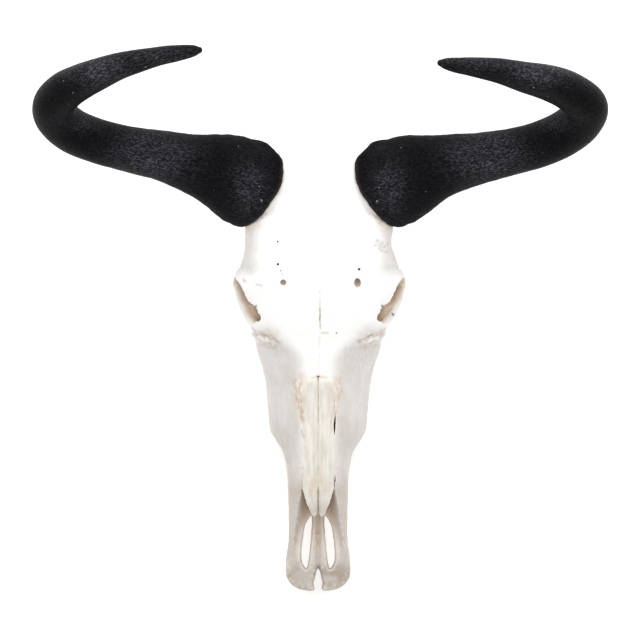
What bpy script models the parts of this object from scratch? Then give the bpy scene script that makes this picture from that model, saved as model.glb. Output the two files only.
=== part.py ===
"""Wildebeest skull: a bleached cranium without its lower jaw, with both black horn sheaths.

The bones are shaped in a face frame: X across the skull, Y from the muzzle tip back to the crown, Z out of
the forehead. An empty then tilts the skull onto its cheek teeth and the two processes beside the condyles.
"""

import math

import bmesh
import bpy
import numpy as np
from mathutils import Matrix, Vector

MM = 0.001

# Driving dimensions
TOOTH_ROW_START = 170 * MM
FLOOR_AT_TOOTH_ROW = -128 * MM
REST_TILT = math.radians(9.0)
REST_SHIFT_Y = -280.2 * MM
LEAN = 1.3 * MM
LEAN_FROM = 320 * MM
LEAN_OVER = 90 * MM
SUTURE_GAP = 0.3 * MM
SOCKET_DEPTH = 14 * MM
FUSE_VOXEL = 2.3 * MM
CRANIUM_TRIANGLES = 3150

# The head from the nose roof back to the crown. Each row is a place along the face and the right half of the
# cross-section there, from the top midline down the side to the midline of the palate or the base.
HEAD_SECTIONS = (
    (108, (0, 1), (12, 0), (19, -5), (27, -18), (31, -38),
     (31.5, -54), (30, -70), (24, -78), (14, -76), (0, -75)),
    (128, (0, 2), (12, 1), (20, -4), (28, -19), (32, -42),
     (32.5, -62), (31, -78), (25, -87), (14, -83), (0, -80)),
    (145, (0, 3), (13, 2), (21, -4), (30, -22), (34, -46),
     (35, -66), (33, -86), (27, -97), (16, -91), (0, -87)),
    (160, (0, 4), (13, 3), (22, -4), (33, -25), (39, -50),
     (41.5, -72), (40, -91), (33, -104), (22, -97), (0, -90)),
    (175, (0, 4), (14, 3), (23, -4), (35, -26), (44, -53),
     (49, -78), (47.5, -97), (38, -110), (27, -102), (0, -94)),
    (195, (0, 5), (15, 4), (24, -3), (39, -26), (49, -54),
     (54, -82), (53, -102), (43, -113), (28, -106), (0, -96)),
    (215, (0, 6), (16, 5), (26, -1), (41, -25), (51, -54),
     (56.5, -82), (54, -104), (44, -117), (28, -109), (0, -98)),
    (235, (0, 7), (18, 6), (31, 1), (45, -21), (55.5, -48),
     (60, -76), (55, -104), (45, -120), (28, -112), (0, -100)),
    (250, (0, 9), (22, 8), (36, 3), (50, -17), (62, -43),
     (64, -68), (55, -100), (46, -123), (28, -114), (0, -102)),
    (262, (0, 10), (27, 9), (42, 5), (57, -12), (69, -40),
     (69, -62), (54, -96), (46, -126), (28, -116), (0, -103)),
    (275, (0, 12), (34, 11), (50, 8), (64, -3), (73, -34),
     (71, -60), (52, -92), (43, -126), (27, -117), (0, -103)),
    (290, (0, 14), (40, 13), (57, 10), (68, 2), (76, -30),
     (68, -56), (46, -82), (32, -110), (22, -110), (0, -100)),
    (308, (0, 16), (45, 15), (63, 12), (74, 4), (79, -14),
     (62, -40), (38, -66), (24, -96), (16, -104), (0, -98)),
    (328, (0, 17), (48, 16), (70, 12), (85, 2), (85, -12),
     (60, -32), (36, -60), (22, -92), (14, -102), (0, -98)),
    (345, (0, 17), (48, 16), (70, 12), (82, 2), (78, -12),
     (54, -30), (36, -58), (24, -92), (14, -106), (0, -104)),
    (365, (0, 16), (45, 15), (65, 9), (78, -2), (73, -15),
     (54, -30), (42, -58), (28, -94), (16, -112), (0, -112)),
    (390, (0, 14), (43, 12), (61, 4), (76, -9), (71, -24),
     (55, -38), (48, -64), (38, -96), (18, -118), (0, -118)),
    (415, (0, 10), (38, 8), (52, 1), (64, -14), (62, -30),
     (56, -44), (54, -70), (46, -100), (22, -122), (0, -124)),
    (438, (0, 4), (32, 1), (45, -7), (55, -21), (56, -37),
     (56, -52), (58, -78), (50, -104), (24, -124), (0, -126)),
    (452, (0, -6), (26, -9), (38, -18), (48, -31), (52, -46),
     (54, -62), (54, -84), (46, -106), (22, -122), (0, -124)),
    (462, (0, -26), (20, -28), (30, -34), (38, -44), (43, -56),
     (45, -70), (42, -88), (34, -102), (18, -112), (0, -114)),
    (469, (0, -48), (14, -49), (22, -52), (28, -57), (32, -64),
     (34, -74), (31, -88), (26, -98), (14, -104), (0, -106)),
)

# The horns: places on the middle line (across, along the face, out of it), then the half-width in the face
# plane and the half-thickness across it. The left horn hooks higher and further in than the right one.
HORN_BASE_CENTRE = (72, 434, -27)
HORN_BASE_AXES = ((-4.5, 43.5, -12), (-26.5, 6, 34), (-8.5, 4, 0))
HORN_LEFT = (
    (86, 436.5, -33, 45, 32), (103, 443.3, -40, 39, 30), (120.2, 449.5, -46, 34.5, 28.5),
    (143.4, 456, -51, 30, 26.5), (171, 463.3, -55, 26.6, 25), (208.5, 470.3, -55, 24.2, 23.8),
    (236.5, 478, -49, 23.8, 23.4), (260.5, 487.5, -38, 23.8, 23), (276.5, 501.3, -22, 23.4, 22.5),
    (278.8, 514.7, -4, 22.8, 22), (267, 527, 13, 21.8, 20.8), (250, 536, 27, 19.4, 19),
    (229.2, 544.2, 39, 17, 16.8), (204.4, 552.8, 50, 13.8, 13.8), (169.9, 560.7, 60, 9.8, 10),
    (142.1, 564.8, 66, 7, 7.2), (124.5, 567.1, 69, 4.8, 4.8), (114, 568.2, 70.5, 2.2, 2.2),
)
HORN_RIGHT = (
    (86, 435.5, -33, 45.5, 32), (104.3, 442, -40, 39.5, 30), (123.6, 449.2, -46, 34.5, 28.5),
    (144, 454.4, -51, 30.8, 26.5), (170.4, 459.6, -55, 27.4, 25), (207.8, 467.2, -55, 24.8, 24),
    (234.5, 474.5, -49, 24.4, 23.6), (259.5, 485.5, -38, 24.2, 23), (276, 499, -22, 23.8, 22.6),
    (280.5, 513.2, -4, 23.2, 22), (263.5, 526, 13, 22.2, 20.8), (242.2, 534.4, 27, 20, 19.2),
    (214.5, 540.7, 39, 16.6, 16.4), (185.2, 547.2, 49, 12.8, 13), (156.2, 550.8, 57, 9, 9.4),
    (140.7, 552.3, 62, 7, 7), (128.8, 553.8, 65, 4.8, 4.8), (120, 555, 66.5, 2.2, 2.2),
)

# The cheek teeth from front to back: name, length along the row, width across it and place across the skull
TEETH = (
    ("premolar_2", 11, 9.5, 35.0),
    ("premolar_3", 13, 12.5, 36.0),
    ("premolar_4", 14, 14.5, 37.0),
    ("molar_1", 17.5, 17, 37.8),
    ("molar_2", 20.5, 18, 37.6),
    ("molar_3", 22, 16.5, 36.4),
)
TOOTH_SPACE = 0.8 * MM
TOOTH_ROOT_DEPTH = 14 * MM


def floor_height(along):
    """The height of the surface that the skull rests on, below a place along the face."""
    return FLOOR_AT_TOOTH_ROW - math.tan(REST_TILT) * (along - TOOTH_ROW_START)


def point(x, y, z):
    return Vector((x, y, z)) * MM


def mirrored(points, side):
    """Points in millimetres on the right side, taken to the side asked for and to metres."""
    return [Vector((side * x, y, z)) * MM for x, y, z in points]


def eased(places, values, wanted):
    """A smooth curve through values at places, which doesn't overshoot them, read at the places wanted."""
    places, values = np.asarray(places, float), np.asarray(values, float)
    step = np.diff(places)[:, None]
    slope = np.diff(values, axis=0) / step
    tangent = np.zeros_like(values)
    tangent[0], tangent[-1] = slope[0], slope[-1]
    same_way = slope[:-1] * slope[1:] > 0
    both = np.where(same_way, slope[:-1] + slope[1:], 1.0)
    tangent[1:-1] = np.where(same_way, 2 * slope[:-1] * slope[1:] / both, 0.0)
    index = np.clip(np.searchsorted(places, wanted) - 1, 0, len(step) - 1)
    span = step[index]
    t = ((wanted - places[index]) / span[:, 0])[:, None]
    h00, h10 = 2 * t**3 - 3 * t**2 + 1, t**3 - 2 * t**2 + t
    h01, h11 = -2 * t**3 + 3 * t**2, t**3 - t**2
    return (
        h00 * values[index] + h10 * span * tangent[index]
        + h01 * values[index + 1] + h11 * span * tangent[index + 1]
    )


def rounded_ring(points, count):
    """A closed smooth curve through the points, as count points."""
    points = np.asarray(points, float)
    n = len(points)
    ring = []
    for k in range(count):
        place = k * n / count
        i, t = int(place), place - int(place)
        p0, p1, p2, p3 = (points[(i + j) % n] for j in (-1, 0, 1, 2))
        ring.append(
            0.5 * (2 * p1 + (p2 - p0) * t + (2 * p0 - 5 * p1 + 4 * p2 - p3) * t**2
                   + (3 * p1 - p0 - 3 * p2 + p3) * t**3)
        )
    return np.array(ring)


def along_path(points, count):
    """A smooth open curve through rows of numbers, as count rows evenly spaced by length."""
    points = np.asarray(points, float)
    gaps = np.linalg.norm(np.diff(points[:, :3], axis=0), axis=1)
    places = np.concatenate([[0], np.cumsum(gaps)])
    padded = np.vstack([2 * points[0] - points[1], points, 2 * points[-1] - points[-2]])
    rows = []
    for place in np.linspace(0, places[-1], count):
        i = min(int(np.searchsorted(places, place, side="right")) - 1, len(gaps) - 1)
        t = (place - places[i]) / gaps[i]
        p0, p1, p2, p3 = padded[i : i + 4]
        rows.append(
            0.5 * (2 * p1 + (p2 - p0) * t + (2 * p0 - 5 * p1 + 4 * p2 - p3) * t**2
                   + (3 * p1 - p0 - 3 * p2 + p3) * t**3)
        )
    return np.array(rows)


def add_object(name, bm):
    """Closes a bmesh into an object whose faces point out."""
    bmesh.ops.recalc_face_normals(bm, faces=bm.faces)
    if bm.calc_volume(signed=True) < 0:
        bmesh.ops.reverse_faces(bm, faces=bm.faces)
    mesh = bpy.data.meshes.new(name)
    bm.to_mesh(mesh)
    bm.free()
    obj = bpy.data.objects.new(name, mesh)
    bpy.context.scene.collection.objects.link(obj)
    return obj


def loft(name, rings):
    """A closed solid through rings of equally many points, each end closed from its middle."""
    bm = bmesh.new()
    rows = [[bm.verts.new(p) for p in ring] for ring in rings]
    count = len(rows[0])
    for low, high in zip(rows, rows[1:]):
        for k in range(count):
            after = (k + 1) % count
            bm.faces.new((low[k], low[after], high[after], high[k]))
    for row in (rows[0], rows[-1]):
        middle = bm.verts.new(sum((vert.co for vert in row), Vector()) / count)
        for k in range(count):
            bm.faces.new((row[k], row[(k + 1) % count], middle))
    return add_object(name, bm)


def ball(name, centre, radii, turn=(0, 0, 0)):
    """An ellipsoid."""
    bm = bmesh.new()
    bmesh.ops.create_icosphere(bm, subdivisions=4, radius=1.0)
    place = Matrix.Translation(centre)
    for axis, angle in zip("XYZ", turn):
        place = place @ Matrix.Rotation(math.radians(angle), 4, axis)
    bm.transform(place @ Matrix.Diagonal((*[r * MM for r in radii], 1)))
    return add_object(name, bm)


def limb(name, path, sizes, across, sides=16, count=24):
    """A bar along path with an oval section: half-width across the path's side, half-height along across."""
    rows = along_path([(*p, a * MM, b * MM) for p, (a, b) in zip(path, sizes)], count)
    centres = rows[:, :3]
    ahead = np.gradient(centres, axis=0)
    rings = []
    for centre, direction, (wide, high) in zip(centres, ahead, rows[:, 3:]):
        direction = Vector(direction).normalized()
        up = Vector(across)
        up = (up - direction * up.dot(direction)).normalized()
        side = direction.cross(up)
        rings.append([
            Vector(centre) + side * wide * math.cos(a) + up * high * math.sin(a)
            for a in (2 * math.pi * k / sides for k in range(sides))
        ])
    return loft(name, rings)


def ring_bar(name, centre, normal, radius, thickness):
    """A torus round a normal."""
    bpy.ops.mesh.primitive_torus_add(
        major_radius=radius * MM, minor_radius=thickness * MM, major_segments=48, minor_segments=14
    )
    obj = bpy.context.object
    obj.name = name
    turn = Vector(normal).to_track_quat("Z", "Y").to_matrix().to_4x4()
    obj.data.transform(Matrix.Translation(centre) @ turn)
    return obj


def plate(name, outline, thickness, place):
    """A flat outline of (x, y) points in millimetres, thickened and put in place."""
    half = thickness * MM / 2
    rings = [[place @ Vector((x * MM, y * MM, z)) for x, y in outline] for z in (-half, half)]
    return loft(name, rings)


def standing_plate(name, outline, across, thickness, lean=0.0):
    """A plate in the plane along the face and out of it, at a place across the skull."""
    turn = Matrix(((0, 0, 1, 0), (1, 0, 0, 0), (0, 1, 0, 0), (0, 0, 0, 1)))
    place = Matrix.Translation((across * MM, 0, 0)) @ Matrix.Rotation(lean, 4, "Y") @ turn
    return plate(name, outline, thickness, place)


def evaluated(obj):
    """The object's mesh with its modifiers, which then go."""
    graph = bpy.context.evaluated_depsgraph_get()
    mesh = bpy.data.meshes.new_from_object(obj.evaluated_get(graph))
    obj.modifiers.clear()
    obj.data = mesh
    return obj


def together(name, objects):
    """One object that holds the faces of several."""
    bm = bmesh.new()
    for obj in objects:
        bm.from_mesh(obj.data)
        bpy.data.objects.remove(obj)
    mesh = bpy.data.meshes.new(name)
    bm.to_mesh(mesh)
    bm.free()
    made = bpy.data.objects.new(name, mesh)
    bpy.context.scene.collection.objects.link(made)
    return made


def boolean(obj, others, operation="DIFFERENCE"):
    """Cuts obj by others, joins them to it or keeps what they share, and removes others."""
    tools = bpy.data.collections.new("tools")
    bpy.context.scene.collection.children.link(tools)
    for other in others:
        tools.objects.link(other)
    modifier = obj.modifiers.new("cut", "BOOLEAN")
    modifier.operation = operation
    modifier.solver = "EXACT"
    if operation == "DIFFERENCE":
        modifier.operand_type = "COLLECTION"
        modifier.collection = tools
    else:
        modifier.object = others[0]
    evaluated(obj)
    bpy.data.collections.remove(tools)
    for other in others:
        bpy.data.objects.remove(other)
    return obj


def fused(obj, voxel, rounds):
    """Melts overlapping shapes into one skin and softens it."""
    remesh = obj.modifiers.new("fuse", "REMESH")
    remesh.mode = "VOXEL"
    remesh.voxel_size = voxel
    smooth = obj.modifiers.new("soften", "SMOOTH")
    smooth.factor = 0.5
    smooth.iterations = rounds
    return evaluated(obj)


def thinned(obj, triangles):
    """Fewer faces where the surface is plain."""
    obj.data.calc_loop_triangles()
    decimate = obj.modifiers.new("thin", "DECIMATE")
    decimate.ratio = triangles / len(obj.data.loop_triangles)
    return evaluated(obj)


def largest_body(obj):
    """Keeps the largest connected body of a mesh."""
    bm = bmesh.new()
    bm.from_mesh(obj.data)
    left, bodies = set(bm.verts), []
    while left:
        body, front = set(), [next(iter(left))]
        while front:
            vert = front.pop()
            if vert in body:
                continue
            body.add(vert)
            front += [e.other_vert(vert) for e in vert.link_edges]
        bodies.append(body)
        left -= body
    keep = max(bodies, key=len)
    bmesh.ops.delete(bm, geom=[v for v in bm.verts if v not in keep], context="VERTS")
    bm.to_mesh(obj.data)
    bm.free()
    return obj


# The bones


def head_mass():
    """The solid head: nose, cheeks, forehead, braincase and back."""
    places = [row[0] * MM for row in HEAD_SECTIONS]
    halves = np.array([row[1:] for row in HEAD_SECTIONS], float) * MM
    wanted = np.linspace(places[0], places[-1], 90)
    flat = eased(places, halves.reshape(len(halves), -1), wanted).reshape(len(wanted), -1, 2)
    rings = []
    for along, half in zip(wanted, flat):
        left = half[1:-1][::-1] * (-1, 1)
        ring = rounded_ring(np.vstack([half, left]), 54)
        rings.append([Vector((x, along, z)) for x, z in ring])
    return loft("head", rings)


def nose_hollow():
    """The nasal cavity, open at the front between the nose bones and the palate."""
    sections = (
        (60, 23, 12, 30, -64), (96, 22, 13, 26, -70), (112, 21, 13, -4.5, -72), (140, 21, 14, -3.5, -78),
        (175, 23, 18, -3, -84), (215, 26, 22, -2, -88), (255, 24, 20, -6, -90), (285, 14, 12, -26, -86),
    )
    rings = []
    for along, top_half, low_half, top, low in sections:
        ring = rounded_ring(
            ((0, top), (top_half * 0.8, top - 3), (top_half, top - 22), (low_half + 3, low + 12),
             (low_half, low), (0, low), (-low_half, low), (-low_half - 3, low + 12),
             (-top_half, top - 22), (-top_half * 0.8, top - 3)),
            30,
        )
        rings.append([Vector((x, along, z)) * MM for x, z in ring])
    return loft("nose_hollow", rings)


def head_hollows():
    """What is cut from the solid head."""
    hollows = [
        nose_hollow(),
        limb("choanae", mirrored(((0, 372, -142), (0, 335, -118), (0, 300, -98), (0, 262, -80)), 1),
             ((13, 16), (13, 15), (12, 13), (10, 11)), (0, 0, 1)),
        ball("palate_vault", point(0, 222, -117), (25, 72, 14)),
        ball("brain_hollow", point(0, 412, -72), (34, 36, 32)),
    ]
    for side in (1, -1):
        hollows += [
            ball("orbit", point(side * 73, 308, -31), (38, 24, 23), (0, side * -14, side * 22)),
            limb("temple", mirrored(((66, 322, -52), (66, 350, -52), (66, 378, -60), (70, 396, -62)), side),
                 ((24, 26), (22, 30), (18, 24), (10, 12)), (0, 0, 1)),
            limb("behind_teeth", mirrored(((62, 292, -104), (54, 318, -104), (50, 350, -112)), side),
                 ((20, 26), (25, 34), (20, 26)), (0, 0, 1)),
        ]
    return hollows


def muzzle_bars(side):
    """One side of the upper lip bones: the bar up to the nose, the broad tip and the inner bar."""
    bar = ((25, 124, -44), (25.7, 100, -46), (25, 78, -55), (24.6, 54, -61), (26.3, 33, -63), (26, 14, -63))
    tip = ((21.5, 25, -64), (20.5, 16, -64), (16.5, 6, -63.5), (8, 0, -63))
    middle = ((3.7, 96, -70), (3.7, 78, -68), (4.3, 55, -66), (5, 36, -64.5), (5.8, 24, -63.5), (8.6, 6, -63))
    return [
        limb("lip_bar", mirrored(bar, side),
             ((5.9, 34), (5.9, 31), (6.3, 20), (7.2, 13), (8.6, 8.5), (9, 6.5)), (side * 0.1, 0.25, 1)),
        limb("lip_tip", mirrored(tip, side),
             ((13, 6.5), (13.6, 6.5), (11.4, 6.5), (4.8, 5)), (0, 0, 1)),
        limb("lip_middle", mirrored(middle, side),
             ((3.3, 4.5), (3.3, 4.4), (3.9, 4.4), (4.6, 4.8), (5.3, 5.4), (5, 5.4)), (0, 0, 1)),
    ]


def nose_bone_tip(side):
    """The pointed end of a nose bone, over the nasal opening."""
    return limb(
        "nose_tip",
        mirrored(((8.6, 132, -2), (8.8, 110, -2.2), (7.6, 95, -3.4), (5.6, 81, -5.2)), side),
        ((9.6, 2.8), (9, 2.8), (6.4, 2.7), (2.8, 2.2)), (0, 0, 1),
    )


def cheek_arch(side):
    """The cheek bone under the eye and the arch behind it."""
    path = (
        (64, 262, -52), (75, 280, -54), (83.5, 300, -57), (86.5, 318, -60),
        (82, 338, -64), (76, 356, -70), (68, 376, -78), (57, 394, -86),
    )
    sizes = ((8, 13), (6, 14), (4.5, 10), (4.2, 9), (4.2, 8), (4.2, 7), (4.5, 7), (7, 8))
    return limb("cheek", mirrored(path, side), sizes, (0, 0, 1))


def fuller_circle(angle):
    """A point of a circle whose quarters bulge a little towards a square."""
    across, up = math.cos(angle), math.sin(angle)
    return math.copysign(abs(across) ** 0.85, across), math.copysign(abs(up) ** 0.85, up)


def pedicle(side, grow=0.0, depth=SOCKET_DEPTH + 4 * MM, share=0.8):
    """The bony stump of a horn, as far as it goes into the sheath."""
    centre = mirrored([HORN_BASE_CENTRE], side)[0]
    first, second, curl = mirrored(HORN_BASE_AXES, side)
    out = Vector((side * 0.94, 0.18, -0.28)).normalized()
    stops = ((-42 * MM, 0.5), (-20 * MM, 0.8), (0, 0.9), (0.4 * depth, share + 0.04), (depth, share))
    rings = []
    for reach, size in stops:
        middle = centre + out * (reach + math.copysign(grow, reach))
        ring = []
        for k in range(24):
            x, y = fuller_circle(2 * math.pi * k / 24)
            spoke = (first * x + second * y + curl * y * y) * size
            ring.append(middle + spoke + spoke.normalized() * grow)
        rings.append(ring)
    return loft("pedicle", rings)


def bone_forms(side):
    """Everything raised on one side of the head."""
    foot = floor_height(442 * MM) / MM
    process = ((46, 448, -92), (49, 448, -122), (50, 445, -148), (48, 442, foot - 3))
    pterygoid =((22, 268, -106), (18.5, 286, -111), (16.5, 306, -117), (16, 326, -122), (17, 340, -128))
    crest = ((0, 458, -34), (22, 456, -38), (42, 450, -52), (54, 440, -74), (54, 430, -92))
    ridge = ((36, 166, -100), (41, 195, -107), (42, 230, -112), (39, 268, -118), (34, 284, -114))
    return [
        *muzzle_bars(side),
        nose_bone_tip(side),
        cheek_arch(side),
        pedicle(side),
        ring_bar("eye_rim", point(side * 78, 305, -29), (side * 0.87, -0.42, 0.26), 25, 3.6),
        limb("bar_behind_eye", mirrored(((80, 338, 0), (87, 333, -22), (86.5, 328, -56)), side),
             ((5, 7), (4, 6), (4.5, 7)), (0, 1, 0)),
        limb("cheek_ledge", mirrored(((73, 272, -44), (66, 270, -20), (54, 269, -3), (42, 264, 4)), side),
             ((3, 3.4), (3, 3.6), (2.4, 2.6), (2, 2)), (0, 0, 1)),
        ball("condyle", point(side * 17, 459, -118), (12.5, 12.5, 17), (18, 0, side * 24)),
        limb("process", mirrored(process, side),
             ((6, 13), (5, 11), (4.5, 9), (4, 6.5)), (0, 1, 0)),
        ball("ear_capsule", point(side * 31, 418, -122), (12, 19, 15), (0, side * 12, 0)),
        limb("ear_tube", mirrored(((38, 420, -98), (52, 424, -94), (64, 427, -90)), side),
             ((9, 9), (8, 8), (7, 7)), (0, 0, 1)),
        ball("jaw_joint", point(side * 56, 397, -92), (17, 13, 7.5)),
        limb("pterygoid", mirrored(pterygoid, side),
             ((3, 9), (3, 13), (2.6, 16), (2.6, 13), (2.6, 6)), (0, 0, 1)),
        limb("nape_crest", mirrored(crest, side),
             ((4, 5), (4, 5), (4, 5), (4, 5), (4, 4)), (0, 1, 0.3)),
        limb("tooth_ridge", mirrored(ridge, side),
             ((6, 10), (9, 10), (10, 10), (9, 10), (5, 8)), (0, 0, 1)),
    ]


def middle_forms():
    """What is raised on the midline."""
    half = ((0, 118), (25, 118), (27, 68), (19, 66), (11, 73), (7, 78))
    floor = [*half, *[(-x, y) for x, y in half[:0:-1]]]
    base = ((0, 458, -124), (0, 425, -122), (0, 390, -118), (0, 350, -110), (0, 318, -100))
    vomer = (
        (84, -72), (130, -80), (200, -92), (300, -100), (320, -92),
        (290, -74), (200, -62), (130, -56), (92, -60),
    )
    return [
        plate("muzzle_floor", floor, 4.6, Matrix.Translation(point(0, 0, -70.5))),
        ball("nape_bump", point(0, 464, -57), (7, 8, 10)),
        limb("skull_base", mirrored(base, 1),
             ((14, 8), (12, 8), (12, 8), (10, 8), (8, 8)), (0, 0, 1)),
        standing_plate("vomer", vomer, 0, 2.8),
    ]


def second_hollows():
    """Holes cut after the bones are fused."""
    holes = [
        limb("great_hole", mirrored(((0, 420, -94), (0, 450, -104), (0, 490, -110)), 1),
             ((15, 13), (15, 13), (16, 14)), (0, 0, 1), sides=18, count=8),
    ]
    for side in (1, -1):
        holes += [
            limb("brow_hole", mirrored(((39, 327.5, 24), (39, 326.5, 14), (40, 322, 6)), side),
                 ((2.9, 4.4), (2.7, 4.1), (1.6, 2.4)), (0, 1, 0), sides=12, count=5),
            limb("cheek_hole", mirrored(((54, 172, -62), (44, 180, -62), (36, 192, -62)), side),
                 ((3.4, 4.6), (3.2, 4.2), (2, 2.8)), (0, 0, 1), sides=12, count=5),
            limb("ear_hole", mirrored(((72, 430, -88), (60, 426, -91), (50, 423, -94)), side),
                 ((4, 4), (3.8, 3.8), (2.5, 2.5)), (0, 0, 1), sides=12, count=5),
        ]
    return holes


def below_floor():
    """All that would reach under the surface that the skull rests on."""
    block = [(-90, 380), (90, 380), (90, 480), (-90, 480)]
    rings = [
        [Vector((x * MM, y * MM, floor_height(y * MM) - drop)) for x, y in block]
        for drop in (30 * MM, 0)
    ]
    return loft("below_floor", rings)


def fused_bones():
    """The head as one skin, before the loose bones and the sockets are parted from it."""
    head = boolean(head_mass(), head_hollows())
    forms = [head, *middle_forms()]
    for side in (1, -1):
        forms += bone_forms(side)
    bones = fused(together("cranium", forms), FUSE_VOXEL, 3)
    bones = largest_body(bones)
    thinned(bones, CRANIUM_TRIANGLES)
    return boolean(bones, [*second_hollows(), below_floor()])


# The sutures that part the loose bones from the head


def nose_bone_region(side, grow):
    """The outline of a nose bone seen from the front, as deep as the roof of the nose."""
    edge = 0.25 if grow == 0 else -0.5
    outline = (
        (edge, 74), (12, 74), (17, 100), (17.4, 112), (15.6, 132), (15.2, 160),
        (15.6, 178), (17.4, 196), (17.6, 210), (14.6, 220), (8.5, 226), (edge, 227.5),
    )
    grown = []
    for x, y in outline:
        away = Vector((x - 8, y - 150)).normalized()
        if y < 216:
            away = Vector((1.0 if x > 1 else 0.0, 0.0 if y > 80 else -1.0))
        grown.append((x + away.x * grow, y + away.y * grow))
    rings = []
    for z in (-5.5, 20):
        level = z + math.copysign(grow, z)
        rings.append([Vector((side * x, y, level - 0.02 * abs(y - 150))) * MM for x, y in grown])
    return loft("nose_region", rings)


def lip_bone_region(side, grow):
    """What lies in front of the slanting seam behind the upper lip bones, on one side."""
    edge = 0.25 if grow == 0 else -0.5
    seam = ((76, -110), (78, -90), (88, -72), (104, -50), (120, -28), (131, -10), (133, 4))
    outline = [(-20, -110), *[(y + grow, z) for y, z in seam], (-20, 4)]
    rings = [[Vector((side * x, y, z)) * MM for y, z in outline] for x in (edge, 60)]
    return loft("lip_region", rings)


# Teeth


def tooth(name, index, side, grow=0.0):
    """A cheek tooth with a four-lobed crown, worn flat where the skull rests."""
    _, length, width, across = TEETH[index]
    start = TOOTH_ROW_START + sum(t[1] * MM + TOOTH_SPACE for t in TEETH[:index])
    middle = start + length * MM / 2
    half_long, half_wide = length * MM / 2, width * MM / 2
    rings = []
    for rise, size in ((0.0, 0.94), (8 * MM, 1.0), (22 * MM, 0.94), (22 * MM + TOOTH_ROOT_DEPTH, 0.8)):
        ring = []
        for k in range(12):
            a = 2 * math.pi * (k + 0.5) / 12
            lobe = 1 - 0.07 * math.cos(4 * a)
            x = math.copysign(abs(math.cos(a)) ** 0.62, math.cos(a)) * half_wide * size * lobe
            y = math.copysign(abs(math.sin(a)) ** 0.62, math.sin(a)) * half_long * min(1.0, size + 0.03)
            away = Vector((x, y)).normalized() * grow
            out = side * (across * MM + x + away.x)
            along = middle + y + away.y
            lift = rise + (grow if rise > 10 * MM else -4 * grow if rise == 0 else 0)
            ring.append(Vector((out, along, floor_height(along) + lift)))
        rings.append(ring)
    return loft(name, rings)


# Horns


def horn_rows(path, side, count):
    """The horn's middle line with its two half sizes, evenly spaced."""
    rows = [(*HORN_BASE_CENTRE, 45, 36), *path]
    return along_path([(side * x, y, z, a, b) for x, y, z, a, b in rows], count) * MM


def horn_skin(name, path, side, grow=0.0, count=23, sides=16):
    """A horn sheath, filled, from its base over the bony stump to the tip."""
    rows = horn_rows(path, side, count)
    centres = rows[:, :3]
    ahead = np.gradient(centres, axis=0)
    base_first, base_second, curl = mirrored(HORN_BASE_AXES, side)
    travel = np.linspace(0, 1, count)
    first = Vector((0, 1, 0))
    rings = []
    for k, (centre, direction, (wide, thick)) in enumerate(zip(centres, ahead, rows[:, 3:])):
        direction = Vector(direction).normalized()
        first = (first - direction * first.dot(direction)).normalized()
        second = direction.cross(first) * side
        blend = max(0.0, 1 - travel[k] / 0.17)
        blend = blend * blend * (3 - 2 * blend)
        a_axis = (first * wide).lerp(base_first, blend)
        b_axis = (second * thick).lerp(base_second, blend)
        ring = []
        for j in range(sides):
            angle = 2 * math.pi * j / sides
            round_point = Vector((math.cos(angle), math.sin(angle)))
            x, y = round_point.lerp(Vector(fuller_circle(angle)), blend)
            spoke = a_axis * x + b_axis * y + curl * y * y * blend
            ring.append(Vector(centre) + spoke + spoke.normalized() * grow)
        rings.append(ring)
    out = Vector(ahead[0]).normalized()
    lip = [Vector(centres[0]) + (p - Vector(centres[0])) * 0.95 - out * (3 * MM + grow) for p in rings[0]]
    return loft(name, [lip, *rings])


def horn(name, path, side, grow=0.0):
    """A horn sheath with the socket that holds the bony stump."""
    skin = horn_skin(name, path, side, grow)
    return boolean(skin, [pedicle(side, grow=0.3 * MM - grow, depth=SOCKET_DEPTH, share=0.78)])


# Putting it together


def bone_material(name, colour, roughness):
    material = bpy.data.materials.new(name)
    material.use_nodes = True
    shader = material.node_tree.nodes["Principled BSDF"]
    shader.inputs["Base Color"].default_value = (*colour, 1)
    shader.inputs["Roughness"].default_value = roughness
    shader.inputs["Metallic"].default_value = 0.0
    return material


def finished(obj, material, parent, collection):
    """Leans the muzzle of a finished piece a little to the left, then shades, colours and parents it."""
    for vert in obj.data.vertices:
        share = min(1.0, max(0.0, (LEAN_FROM - vert.co.y) / LEAN_OVER))
        vert.co.x -= LEAN * share * share * (3 - 2 * share)
    obj.data.materials.clear()
    obj.data.materials.append(material)
    obj.data.shade_smooth()
    obj.data.set_sharp_from_angle(angle=math.radians(40))
    for held in list(obj.users_collection):
        held.objects.unlink(obj)
    collection.objects.link(obj)
    obj.parent = parent
    return obj


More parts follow.
